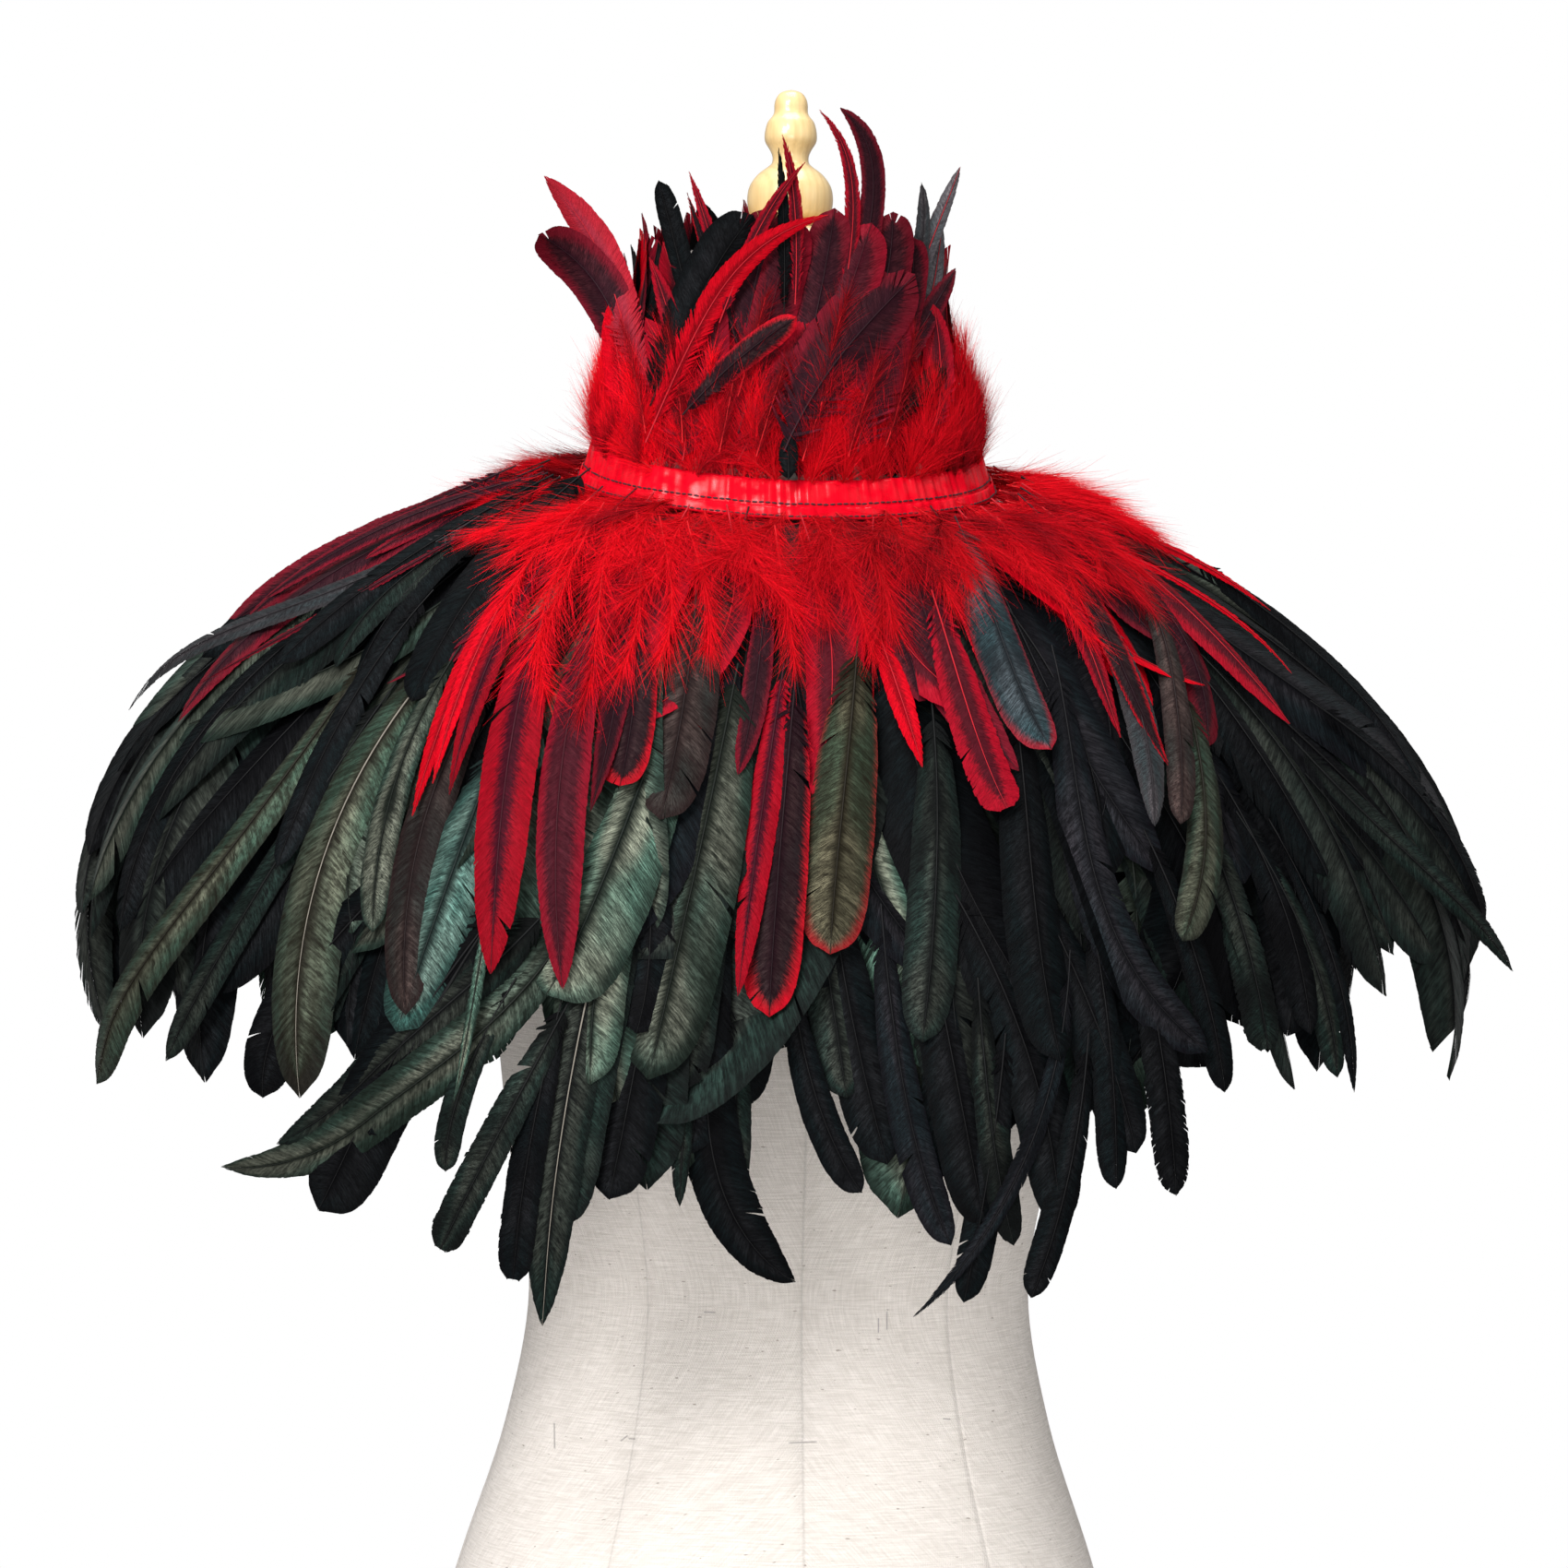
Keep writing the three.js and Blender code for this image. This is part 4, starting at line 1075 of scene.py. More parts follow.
def width_seen(path, pixels):
    """The width in mm that is seen as so many pixels at the middle of a path."""
    depth = float((path[len(path) // 2] * MM - STAND) @ FORWARD)
    return pixels * depth / VIEW["focal_pixels"] / MM


print("search ready")

# %% [markdown]
# ## The list of cape feathers
#
# Long red feathers lie at the picture's left, broad green ones beside the middle
# and curved dark ones at the hem. They are seen best, so their barbs are closer
# than in the rows, and they turn their flat side a little to the camera.

# %% Feathers of the cape seen in the picture
HEM, GREEN, TOP = "tail_row_upper", "green_row", "crimson_row"
CAPE_REACH = 460.0
SEEN_ON_CAPE = [
    # root, middle and tip in pixels, width in pixels, kind, dye, piece, lift in mm
    ((520, 560), (330, 652), (140, 770), 30, "body", "grey", TOP, 19),
    ((565, 520), (430, 566), (280, 655), 22, "body", "burgundy", TOP, 19),
    ((520, 570), (360, 660), (215, 742), 8, "hackle", "wine", TOP, 18.5),
    ((640, 508), (540, 605), (446, 760), 52, "tail", "black", TOP, 20),
    ((600, 515), (450, 600), (300, 720), 44, "tail", "black", TOP, 19),
    ((560, 505), (400, 580), (262, 678), 30, "body", "burgundy", TOP, 19),
    ((590, 512), (495, 552), (395, 606), 22, "body", "wine", TOP, 17),
    ((340, 640), (160, 800), (90, 990), 58, "tail", "dim", HEM, 11),
    ((390, 640), (215, 800), (130, 1010), 44, "tail", "black", HEM, 12),
    ((420, 690), (235, 940), (105, 1175), 46, "tail", "bronze", GREEN, 14.5),
    ((430, 740), (290, 950), (180, 1150), 44, "tail", "dim", GREEN, 14),
    ((470, 640), (370, 780), (300, 940), 36, "tail", "black", TOP, 17.5),
    ((500, 690), (362, 900), (325, 1190), 72, "tail", "bronze", GREEN, 15.5),
    ((500, 700), (428, 850), (404, 1010), 44, "tail", "olive", TOP, 17.5),
    ((540, 720), (460, 890), (440, 1100), 58, "tail", "brown", GREEN, 16.5),
    ((580, 600), (497, 740), (447, 885), 30, "hackle", "scarlet", TOP, 20.5),
    ((590, 610), (525, 730), (487, 862), 30, "hackle", "streaked", TOP, 20),
    ((565, 620), (505, 735), (469, 850), 20, "hackle", "scarlet", TOP, 21),
    ((600, 640), (549, 840), (532, 1056), 72, "body", "streaked", TOP, 21.5),
    ((650, 660), (606, 860), (610, 1072), 56, "body", "wine", TOP, 20.5),
    ((740, 720), (662, 935), (592, 1078), 100, "tail", "green", GREEN, 16),
    ((800, 720), (757, 930), (703, 1170), 88, "tail", "olive", GREEN, 16.4),
    ((695, 680), (687, 765), (672, 852), 56, "tail", "rimmed", TOP, 20.8),
    ((755, 640), (744, 745), (716, 888), 72, "tail", "brown", TOP, 20.4),
    ((850, 720), (826, 880), (800, 1080), 36, "body", "streaked", TOP, 18.6),
    ((545, 800), (485, 960), (430, 1118), 86, "tail", "teal", GREEN, 14.8),
    ((535, 960), (512, 1090), (492, 1194), 14, "hackle", "green", TOP, 18),
    ((700, 850), (655, 1010), (640, 1175), 80, "tail", "green", GREEN, 14.2),
    ((790, 900), (760, 1040), (745, 1180), 62, "tail", "dim", GREEN, 14.0),
    ((640, 960), (470, 1160), (240, 1265), 58, "body", "olive", HEM, 12.5),
    ((600, 980), (450, 1120), (300, 1240), 50, "body", "dim", HEM, 12),
    ((560, 960), (420, 1160), (345, 1312), 80, "tail", "black", HEM, 11.5),
    ((560, 1060), (500, 1180), (483, 1270), 34, "tail", "dim", HEM, 12),
    ((620, 1080), (540, 1230), (477, 1355), 45, "blunt", "dim", HEM, 12.5),
    ((655, 1000), (612, 1210), (588, 1437), 70, "body", "dim", HEM, 13),
    ((610, 1080), (575, 1240), (556, 1388), 40, "blunt", "black", HEM, 11.8),
    ((748, 1130), (741, 1220), (737, 1308), 22, "body", "dim", HEM, 12),
    ((785, 1040), (775, 1262), (862, 1390), 66, "body", "black", HEM, 12.6),
    ((800, 1120), (796, 1220), (790, 1320), 34, "tail", "dim", HEM, 11.4),
    ((930, 690), (914, 870), (900, 1034), 74, "tail", "olive_rimmed", TOP, 20.5),
    ((862, 740), (846, 920), (834, 1102), 68, "tail", "rimmed", TOP, 19.5),
    ((700, 900), (705, 1020), (690, 1120), 60, "tail", "black", GREEN, 13.6),
    ((955, 980), (982, 1190), (1031, 1350), 46, "tail", "violet", HEM, 12.6),
    ((858, 1060), (885, 1190), (934, 1293), 42, "tail", "black", HEM, 12),
    ((1160, 1030), (1105, 1270), (990, 1428), 27, "hackle", "violet", HEM, 13.5),
    ((1180, 1120), (1155, 1290), (1118, 1407), 40, "tail", "black", HEM, 12),
    ((1090, 1120), (1070, 1280), (1045, 1412), 40, "tail", "black", HEM, 11.6),
    ((1060, 1060), (1075, 1220), (1099, 1350), 36, "tail", "dim", HEM, 12.4),
    ((1035, 560), (1085, 690), (1140, 812), 56, "tail", "blue_rimmed", TOP, 21.5),
    ((1010, 640), (1050, 770), (1092, 876), 46, "blunt", "crimson", TOP, 20.5),
    ((950, 680), (978, 760), (1000, 832), 30, "hackle", "scarlet", TOP, 20),
    ((1145, 590), (1215, 720), (1267, 830), 32, "hackle", "rimmed", TOP, 20.5),
    ((1190, 660), (1238, 780), (1252, 896), 36, "body", "grey", TOP, 19.8),
    ((1230, 620), (1275, 760), (1280, 893), 36, "tail", "brown", TOP, 20.2),
    ((1280, 740), (1307, 890), (1282, 1020), 46, "tail", "bronze", TOP, 18.5),
    ((1140, 700), (1190, 960), (1310, 1140), 50, "tail", "violet", GREEN, 16),
    ((1100, 760), (1120, 960), (1150, 1150), 60, "tail", "black", GREEN, 15),
    ((1010, 760), (1015, 950), (1000, 1130), 62, "tail", "dim", GREEN, 15),
    ((1180, 980), (1205, 1150), (1210, 1289), 38, "tail", "black", HEM, 12),
    ((1230, 1000), (1262, 1160), (1275, 1296), 42, "worn", "black", HEM, 12.6),
    ((1240, 900), (1300, 1050), (1328, 1184), 38, "tail", "black", HEM, 13),
    ((1290, 860), (1345, 1000), (1375, 1138), 44, "blunt", "dim", HEM, 13),
    ((1320, 840), (1390, 980), (1421, 1121), 42, "tail", "black", HEM, 12.6),
    ((1340, 880), (1420, 1030), (1450, 1168), 36, "tail", "dim", HEM, 12.2),
    ((1370, 880), (1445, 1040), (1468, 1184), 24, "body", "black", HEM, 13),
    ((1420, 760), (1545, 870), (1610, 1003), 42, "worn", "black", HEM, 13),
    ((1400, 800), (1530, 930), (1640, 1053), 36, "body", "dim", HEM, 12),
    ((1280, 600), (1430, 710), (1540, 850), 44, "tail", "black", GREEN, 14),
    ((1170, 560), (1280, 600), (1377, 662), 12, "hackle", "scarlet", TOP, 19),
    ((1200, 590), (1310, 650), (1400, 730), 10, "hackle", "scarlet", TOP, 19.5),
    ((1130, 600), (1180, 700), (1215, 800), 26, "hackle", "crimson", TOP, 20),
    ((780, 960), (762, 1110), (750, 1250), 66, "tail", "black", HEM, 11.2),
    ((720, 980), (690, 1150), (660, 1300), 66, "tail", "black", HEM, 11.0),
    ((690, 980), (640, 1150), (612, 1330), 60, "tail", "dim", HEM, 11.4),
    ((830, 960), (815, 1090), (795, 1200), 60, "tail", "black", HEM, 10.8),
    ((900, 960), (925, 1110), (962, 1262), 64, "tail", "black", HEM, 11.3),
    ((880, 940), (900, 1070), (918, 1190), 60, "tail", "dim", HEM, 11.0),
    ((1000, 980), (1035, 1160), (1068, 1330), 62, "tail", "black", HEM, 11.5),
    ((1030, 960), (1110, 1130), (1150, 1330), 60, "tail", "black", HEM, 11.2),
    ((1110, 940), (1185, 1100), (1232, 1250), 60, "tail", "black", HEM, 11.3),
    ((530, 1000), (450, 1130), (400, 1230), 64, "tail", "black", HEM, 11.0),
    ((480, 900), (330, 1060), (285, 1190), 70, "tail", "black", HEM, 10.8),
    ((560, 960), (470, 1100), (430, 1200), 60, "tail", "dim", HEM, 10.9),
    ((690, 640), (668, 760), (640, 880), 34, "hackle", "burgundy", TOP, 19.5),
    ((830, 640), (820, 740), (800, 840), 30, "body", "burgundy", TOP, 19),
]
PALE_SHAFTS = {(500, 690), (655, 1000)}  # roots of the feathers whose shaft shows pale
rng = np.random.default_rng(51)
for root, middle, tip, across, kind, dye, name, lift in SEEN_ON_CAPE:
    places = [find_place("cape", cape_point, spot, lift, CAPE_REACH) for spot in (root, middle, tip)]
    path, normals = cape_path(*places)
    width = width_seen(path, across)
    shaft = IVORY if root in PALE_SHAFTS else None
    loose = 0.12 if name == TOP else 0.06
    normals = facing_camera(path, normals, 0.5)
    twist = rng.uniform(-5, 5)
    feather(PIECES[name][0], rng, path, normals, kind, width, dye, 0.06, twist, loose, fine=0.78, shaft_dye=shaft)
print("feathers placed from the picture:", len(SEEN_ON_CAPE))

# %% [markdown]
# ## The ruff of down
#
# Below the ribbon lies a ruff of red plumes, whose barbs have no hooks and stand
# apart. A particle system would give even fur without the plumes in it. So each
# plume is a thin shaft with hundreds of single barbs, grown by the same tree as
# the feathers. A table makes the ruff full in front and thin over the shoulder
# at the picture's left, and short plumes close the line under the ribbon. Its
# last column sets how bright the red is. Its rise at the front left, on the side
# of the key light, is painted light.

# %% Down ruff
def plume(lines, rng, path, normals, reach, dye, count, tint_and_painted_light):
    """A whole down plume: a thin shaft with loose barbs all along it."""
    down(lines, rng, path, axes_along(path, normals)[:3], 1.0, reach, dye, count, tint_and_painted_light)
    lines.add_shaft(path, np.linspace(0.4, 0.12, len(path)), PLUME_SHAFT)


RUFF = [
    # direction, length of the plumes in mm, share of deep red, share of black, height above the cape in mm, tone with
    # painted light (raised at the front left, where the key light falls)
    (-180, 56, 0.3, 0.0, 20, 1.0), (-125, 48, 0.4, 0.1, 18, 0.9), (-105, 30, 0.5, 0.25, 11, 0.9),
    (-80, 24, 0.5, 0.3, 9, 0.9), (-66, 32, 0.4, 0.15, 11, 1.0), (-54, 62, 0.05, 0.0, 17, 1.3),
    (-36, 64, 0.02, 0.0, 20, 1.25), (-12, 66, 0.1, 0.0, 20, 1.0), (0, 66, 0.15, 0.0, 20, 0.85),
    (30, 58, 0.2, 0.0, 20, 0.9), (75, 72, 0.25, 0.05, 20, 1.0), (110, 60, 0.3, 0.0, 20, 1.0),
    (180, 56, 0.3, 0.0, 20, 1.0),
]
RUFF_PLUMES, RUFF_BARBS = 130, 540
ruff = Lines()
rng = np.random.default_rng(21)
table = np.array(RUFF, float)
for i in range(RUFF_PLUMES):
    direction = -180 + (i + rng.uniform(-0.4, 0.4)) * 360 / RUFF_PLUMES
    start = rng.uniform(5, 20)
    reach, deep, dark, high, tone_and_painted_light = [np.interp(direction, table[:, 0], table[:, k]) for k in range(1, 6)]
    end = start + reach * rng.uniform(0.55, 1.15)
    chance = rng.uniform()
    dye = "black_down" if chance < dark else "deep_down" if chance < dark + deep else "red_down"
    sway = rng.normal(0, 9)
    path, normals = cape_path(
        (direction, start, high * 0.55 + rng.uniform(-2, 2)),
        (direction + sway * 0.4, (start + end) / 2, high),
        (direction + sway, end, high + 2 + rng.uniform(-2, 4)),
        12,
    )
    # The tone passed here brightens the red. Its rise at the front left is painted light.
    plume(ruff, rng, path, normals, 10 + 0.65 * high, dye, RUFF_BARBS, tone_and_painted_light * rng.uniform(0.85, 1.1))
SEEN_PLUME_LIFT, SEEN_PLUME_BARBS = 22.0, 640
SEEN_PLUMES = [
    # root, middle and tip in pixels, reach of the barbs in mm, dye, tone with painted light (higher at the front left,
    # where the key light falls)
    ((655, 545), (610, 635), (575, 715), 27, "red_down", 1.3),
    ((640, 540), (580, 600), (545, 670), 25, "red_down", 1.3),
    ((670, 550), (650, 650), (640, 742), 27, "red_down", 1.3),
    ((690, 555), (695, 640), (672, 728), 26, "red_down", 1.25),
    ((715, 560), (728, 640), (715, 712), 25, "red_down", 1.2),
    ((640, 560), (590, 660), (590, 748), 25, "red_down", 1.2),
    ((745, 565), (765, 640), (768, 700), 24, "red_down", 1.1),
    ((700, 600), (660, 680), (628, 775), 20, "deep_down", 1.3),
    ((840, 570), (850, 640), (862, 720), 19, "red_down", 1.0),
    ((900, 575), (925, 640), (948, 712), 19, "red_down", 1.0),
    ((1080, 560), (1130, 620), (1180, 690), 20, "red_down", 1.0),
    ((1130, 550), (1190, 600), (1250, 662), 20, "deep_down", 1.1),
]
for root, middle, tip, reach, dye, tone_and_painted_light in SEEN_PLUMES:
    places = [find_place("cape", cape_point, spot, SEEN_PLUME_LIFT, CAPE_REACH) for spot in (root, middle, tip)]
    path, normals = cape_path(*places, 14)
    plume(ruff, rng, path, normals, reach, dye, SEEN_PLUME_BARBS, tone_and_painted_light)
NECK_PLUMES, NECK_BARBS = 64, 150
rng = np.random.default_rng(23)
for i in range(NECK_PLUMES):
    direction = -180 + (i + rng.uniform(-0.4, 0.4)) * 360 / NECK_PLUMES
    end = rng.uniform(15, 22)
    sway = rng.normal(0, 4)
    path, normals = cape_path((direction, 2.0, 2.5), (direction, end / 2, 4.5), (direction + sway, end, 7.0), 5)
    plume(ruff, rng, path, normals, 10, "red_down", NECK_BARBS, rng.uniform(0.7, 1.0))
PIECES["down_ruff"] = (ruff, dict(node="fringe_down", seed=21))
print("down plumes:", RUFF_PLUMES + len(SEEN_PLUMES) + NECK_PLUMES)

# %% [markdown]
# ## The standing collar
#
# Two rows of feathers stand inside the ribbon, tied at their quills. They lean
# in with the band and flare at the top. Plumes fill the collar up to two thirds
# of its height, short ones at the foot and longer ones over them, so that no tape
# shows between the quills. Their red is painted brighter on the side where the
# key light falls, which is painted light.

# %% Collar rows
COLLARS = [
    dict(piece="collar_inner", node="collar_fringe_inner", count=40, inset=4.6, shape=(-14, 24), height=104, spread=0.2,
         width=34, dyes={"burgundy": 5, "wine": 4, "crimson": 3, "black": 2},
         kinds={"body": 3, "tail": 2, "hackle": 1}, plumes=((34, 36, 66, 420),), seed=31),
    dict(piece="collar_outer", node="collar_fringe_outer", count=40, inset=2.8, shape=(-12, 24), height=90, spread=0.36,
         width=32, dyes={"burgundy": 3, "wine": 4, "crimson": 4, "scarlet": 1, "black": 1},
         kinds={"body": 3, "tail": 2, "hackle": 1}, plumes=((66, 36, 68, 420), (44, 20, 36, 280)), seed=32),
]
# Painted light: the collar down is painted up to 1.6 times brighter towards this direction, the front left, where the
# key lamp stands.
PAINTED_LIGHT_SIDE = -52  # direction in degrees of the brightest down
for row in COLLARS:
    lines = Lines()
    rng = np.random.default_rng(row["seed"])
    for i in range(row["count"]):
        direction = (i + rng.uniform(-0.3, 0.3)) * 360 / row["count"]
        height = row["height"] * (1 + rng.uniform(-0.5, 0.5) * row["spread"])
        sway = rng.normal(0, 18)
        path, normals = collar_path(
            (direction, 0, rng.uniform(-1, 1)),
            (direction + sway * 0.3, height * 0.5, 0),
            (direction + sway, height, rng.uniform(-6, 4)),
            row,
        )
        kind = pick(rng, row["kinds"])
        width = row["width"] * rng.uniform(0.8, 1.2) * (0.5 if kind == "hackle" else 1.0)
        feather(lines, rng, path, normals, kind, width, pick(rng, row["dyes"]), 0.12, rng.normal(0, 14), 0.35)
    for plumes, low, high, barbs in row["plumes"]:
        for i in range(plumes):
            direction = (i + rng.uniform(0, 1)) * 360 / plumes
            height = rng.uniform(low, high)
            sway = rng.normal(0, 12)
            path, normals = collar_path(
                (direction, rng.uniform(3, 8), 1.0), (direction + sway * 0.3, height * 0.5, 6),
                (direction + sway, height, 9), row, 12
            )
            dye = pick(rng, {"red_down": 4, "deep_down": 1})
            # Painted light: the nearer a plume stands to the lit side, the brighter its red is painted.
            from_painted_light = (direction - PAINTED_LIGHT_SIDE + 180) % 360 - 180
            tone_and_painted_light = 1.0 + 0.6 * math.exp(-((from_painted_light / 38) ** 2))
            plume(lines, rng, path, normals, 19, dye, barbs, tone_and_painted_light * rng.uniform(0.8, 1.05))
    PIECES[row["piece"]] = (lines, row)
print("collar rows:", len(COLLARS))

# %% [markdown]
# ## The list of collar feathers
#
# Single feathers make the collar's outline: red ones bent outwards at the left,
# slim dark ones beside the finial, grey ones at the right. The same search as on
# the cape finds their places, here on the surface of the outer row.

# %% Feathers of the collar seen in the picture
COLLAR_REACH = 190.0
SEEN_ON_COLLAR = [
    # root, middle and tip in pixels, width in pixels, kind, dye, lift in mm
    ((725, 430), (662, 305), (590, 191), 46, "body", "pink", 7),
    ((735, 440), (660, 330), (585, 254), 52, "tail", "burgundy", 4),
    ((740, 400), (725, 340), (704, 279), 22, "hackle", "crimson", 8),
    ((760, 400), (738, 290), (714, 196), 27, "tail", "black", 5),
    ((800, 390), (774, 270), (747, 186), 14, "hackle", "crimson", 6),
    ((806, 390), (772, 290), (745, 209), 12, "hackle", "rimmed", 7),
    ((705, 440), (755, 330), (816, 233), 62, "tail", "black", 9),
    ((700, 480), (785, 310), (898, 233), 34, "hackle", "scarlet", 13),
    ((780, 350), (822, 250), (873, 176), 16, "hackle", "crimson", 12),
    ((862, 330), (862, 230), (848, 146), 15, "hackle", "crimson", 10),
    ((850, 340), (850, 250), (844, 160), 14, "hackle", "black", 9),
    ((905, 390), (946, 220), (911, 117), 26, "body", "burgundy", 8),
    ((900, 400), (925, 230), (888, 119), 18, "hackle", "crimson", 7),
    ((930, 420), (958, 320), (968, 230), 52, "tail", "burgundy", 9),
    ((960, 420), (985, 330), (990, 258), 40, "tail", "burgundy", 6),
    ((965, 400), (1003, 280), (1041, 181), 20, "body", "silver", 5),
    ((975, 400), (996, 290), (999, 198), 16, "body", "grey", 4),
    ((985, 400), (1010, 320), (1021, 246), 18, "body", "silver", 3),
    ((960, 430), (1002, 350), (1036, 291), 26, "body", "burgundy", 7),
    ((970, 460), (1005, 420), (1031, 392), 26, "body", "black", 9),
    ((740, 450), (800, 390), (864, 344), 32, "tail", "rimmed", 15),
    ((850, 490), (908, 390), (992, 298), 88, "tail", "burgundy", 13),
    ((800, 470), (835, 340), (862, 236), 66, "tail", "wine", 8),
    ((850, 470), (885, 340), (905, 226), 62, "tail", "burgundy", 7),
    ((870, 460), (910, 350), (945, 242), 56, "tail", "wine", 9),
    ((760, 470), (790, 360), (792, 262), 58, "tail", "wine", 6),
    ((790, 450), (812, 340), (838, 226), 60, "tail", "burgundy", 6.5),
    ((800, 500), (850, 410), (900, 330), 50, "body", "crimson", 7),
    ((740, 500), (735, 430), (700, 345), 50, "body", "crimson", 8),
    ((930, 490), (950, 410), (985, 330), 60, "body", "wine", 10),
    ((690, 470), (672, 400), (660, 330), 36, "body", "scarlet", 8),
    ((1010, 470), (1020, 400), (1012, 330), 36, "body", "crimson", 8),
    ((855, 520), (855, 495), (855, 470), 24, "body", "black", 13),
]
outer = COLLARS[1]
collar_surface = lambda direction, along, off: collar_point(direction, along, off, outer["inset"], outer["shape"])
rng = np.random.default_rng(52)
for root, middle, tip, across, kind, dye, lift in SEEN_ON_COLLAR:
    places = [find_place("collar", collar_surface, spot, lift, COLLAR_REACH) for spot in (root, middle, tip)]
    path, normals = collar_path(*places, outer)
    width = width_seen(path, across)
    normals = facing_camera(path, normals, 0.75)
    twist = rng.uniform(-5, 5)
    feather(PIECES["collar_outer"][0], rng, path, normals, kind, width, dye, 0.06, twist, 0.3, fine=0.75)
print("collar feathers placed from the picture:", len(SEEN_ON_COLLAR))
SEEN_COLLAR_PLUMES = [
    # root, middle and tip in pixels
    ((780, 490), (790, 440), (800, 385)), ((820, 495), (835, 445), (852, 392)), ((870, 500), (885, 455), (905, 402)),
    ((920, 495), (935, 445), (955, 388)), ((740, 480), (735, 420), (722, 352)), ((700, 470), (688, 405), (674, 350)),
    ((960, 485), (978, 425), (992, 362)), ((800, 430), (815, 378), (830, 322)), ((890, 440), (902, 380), (918, 322)),
]
for root, middle, tip in SEEN_COLLAR_PLUMES:
    places = [find_place("collar", collar_surface, spot, 12.0, COLLAR_REACH) for spot in (root, middle, tip)]
    path, normals = collar_path(*places, outer, 14)
    plume(PIECES["collar_outer"][0], rng, path, normals, 15, "deep_down", 420, rng.uniform(0.5, 1.0))

# %% [markdown]
# ## All rows at once
#
# The tables are full now, so each row becomes its piece. Barbs of the feathers
# that show bend in three segments, and those of the hidden layers in two.

# %% Grow every feather piece
SLOT_OF = {"down_ruff": "down_feather"}
for name, (lines, row) in PIECES.items():
    dyed = name in ("crimson_row", "collar_inner", "collar_outer")
    slot = SLOT_OF.get(name, "dyed_feather" if dyed else "tail_feather")
    plain = name.startswith("tail_under") or name == "down_ruff"
    grow(name, lines, row["node"], 2 if plain else 3, row["seed"])

# %% [markdown]
# ## The dress form
#
# Under the cape stands a padded form covered in unbleached linen, cut in panels
# whose seams run down the centre front and over each bust. Its width and depth
# are given at seventeen heights. A smooth skin through them shows no facets. Its
# weave and slubs come from a material in the skin's own flat measures, its seams
# from an attribute, and the pencil marks from their places in the picture. A faint
# wider band beside each seam is painted shade of the puckered cloth.

# %% Linen skin
FORM_SECTIONS = [
    # height, half width, front, back
    (0, 158, 104, 122), (45, 161, 107, 125), (98, 146, 103, 116), (163, 125, 93, 97), (223, 115, 84, 84),
    (290, 125, 91, 89), (365, 134, 103, 97), (425, 146, 121, 103), (475, 156, 114, 106), (518, 158, 94, 101),
    (541, 150, 80, 92), (559, 130, 68, 82), (574, 104, 58, 71), (587, 82, 51, 62), (603, 62, 45, 52),
    (626, 52, 41, 45), (699, 49, 39, 42),
]
SQUARENESS = 2.25
BASE = 12.0
GAP = 0.3


def merged(mesh, distance):
    """Closes seams and poles, and then turns every face outwards."""
    shape = bmesh.new()
    shape.from_mesh(mesh)
    bmesh.ops.remove_doubles(shape, verts=shape.verts, dist=distance)
    bmesh.ops.recalc_face_normals(shape, faces=shape.faces)
    shape.to_mesh(mesh)
    shape.free()
    return mesh


def grid_mesh(name, grid, closed_round, flat=None):
    """A mesh of quads through a grid of points in mm, with a UV map in metres of cloth."""
    rows, columns = len(grid), len(grid[0])
    mesh = bpy.data.meshes.new(name)
    faces = []
    last = columns if closed_round else columns - 1
    for i in range(rows - 1):
        for j in range(last):
            k = (j + 1) % columns
            faces.append((i * columns + j, i * columns + k, (i + 1) * columns + k, (i + 1) * columns + j))
    mesh.from_pydata((np.asarray(grid).reshape(-1, 3) * MM).tolist(), [], faces)
    if flat is not None:
        layer = mesh.uv_layers.new(name="cloth")
        flat = np.asarray(flat)
        spots = []
        for i in range(rows - 1):
            for j in range(last):
                spots += [flat[i, j], flat[i, j + 1], flat[i + 1, j + 1], flat[i + 1, j]]
        layer.data.foreach_set("uv", np.array(spots, np.float32).ravel())
    for face in mesh.polygons:
        face.use_smooth = True
    return mesh


def form_widths(height):
    """Half width, front and back of the form, with a smooth line through the table."""
    table = np.array(FORM_SECTIONS, float)
    found = []
    for column in (1, 2, 3):
        x, y = table[:, 0], table[:, column]
        slopes = np.gradient(y, x)
        k = np.clip(np.searchsorted(x, height) - 1, 0, len(x) - 2)
        h = x[k + 1] - x[k]
        t = np.clip((height - x[k]) / h, 0, 1)
        curve = (2 * t**3 - 3 * t**2 + 1) * y[k] + (t**3 - 2 * t**2 + t) * h * slopes[k]
        curve += (-2 * t**3 + 3 * t**2) * y[k + 1] + (t**3 - t**2) * h * slopes[k + 1]
        found.append(curve)
    return found


def form_ring(height, angles, inset=0.0):
    half, front_depth, back_depth = form_widths(height)
    bent = lambda value: np.sign(value) * np.abs(value) ** (2 / SQUARENESS)
    depth = np.where(np.cos(angles) > 0, front_depth, back_depth) - inset
    return (half - inset) * bent(np.sin(angles)), -depth * bent(np.cos(angles))


BUST_SEAMS = [
    # angle in degrees at the hip, at the waist and at the bust, of the front and of the back pair
    (35, 33, 37), (148, 154, 148),
]


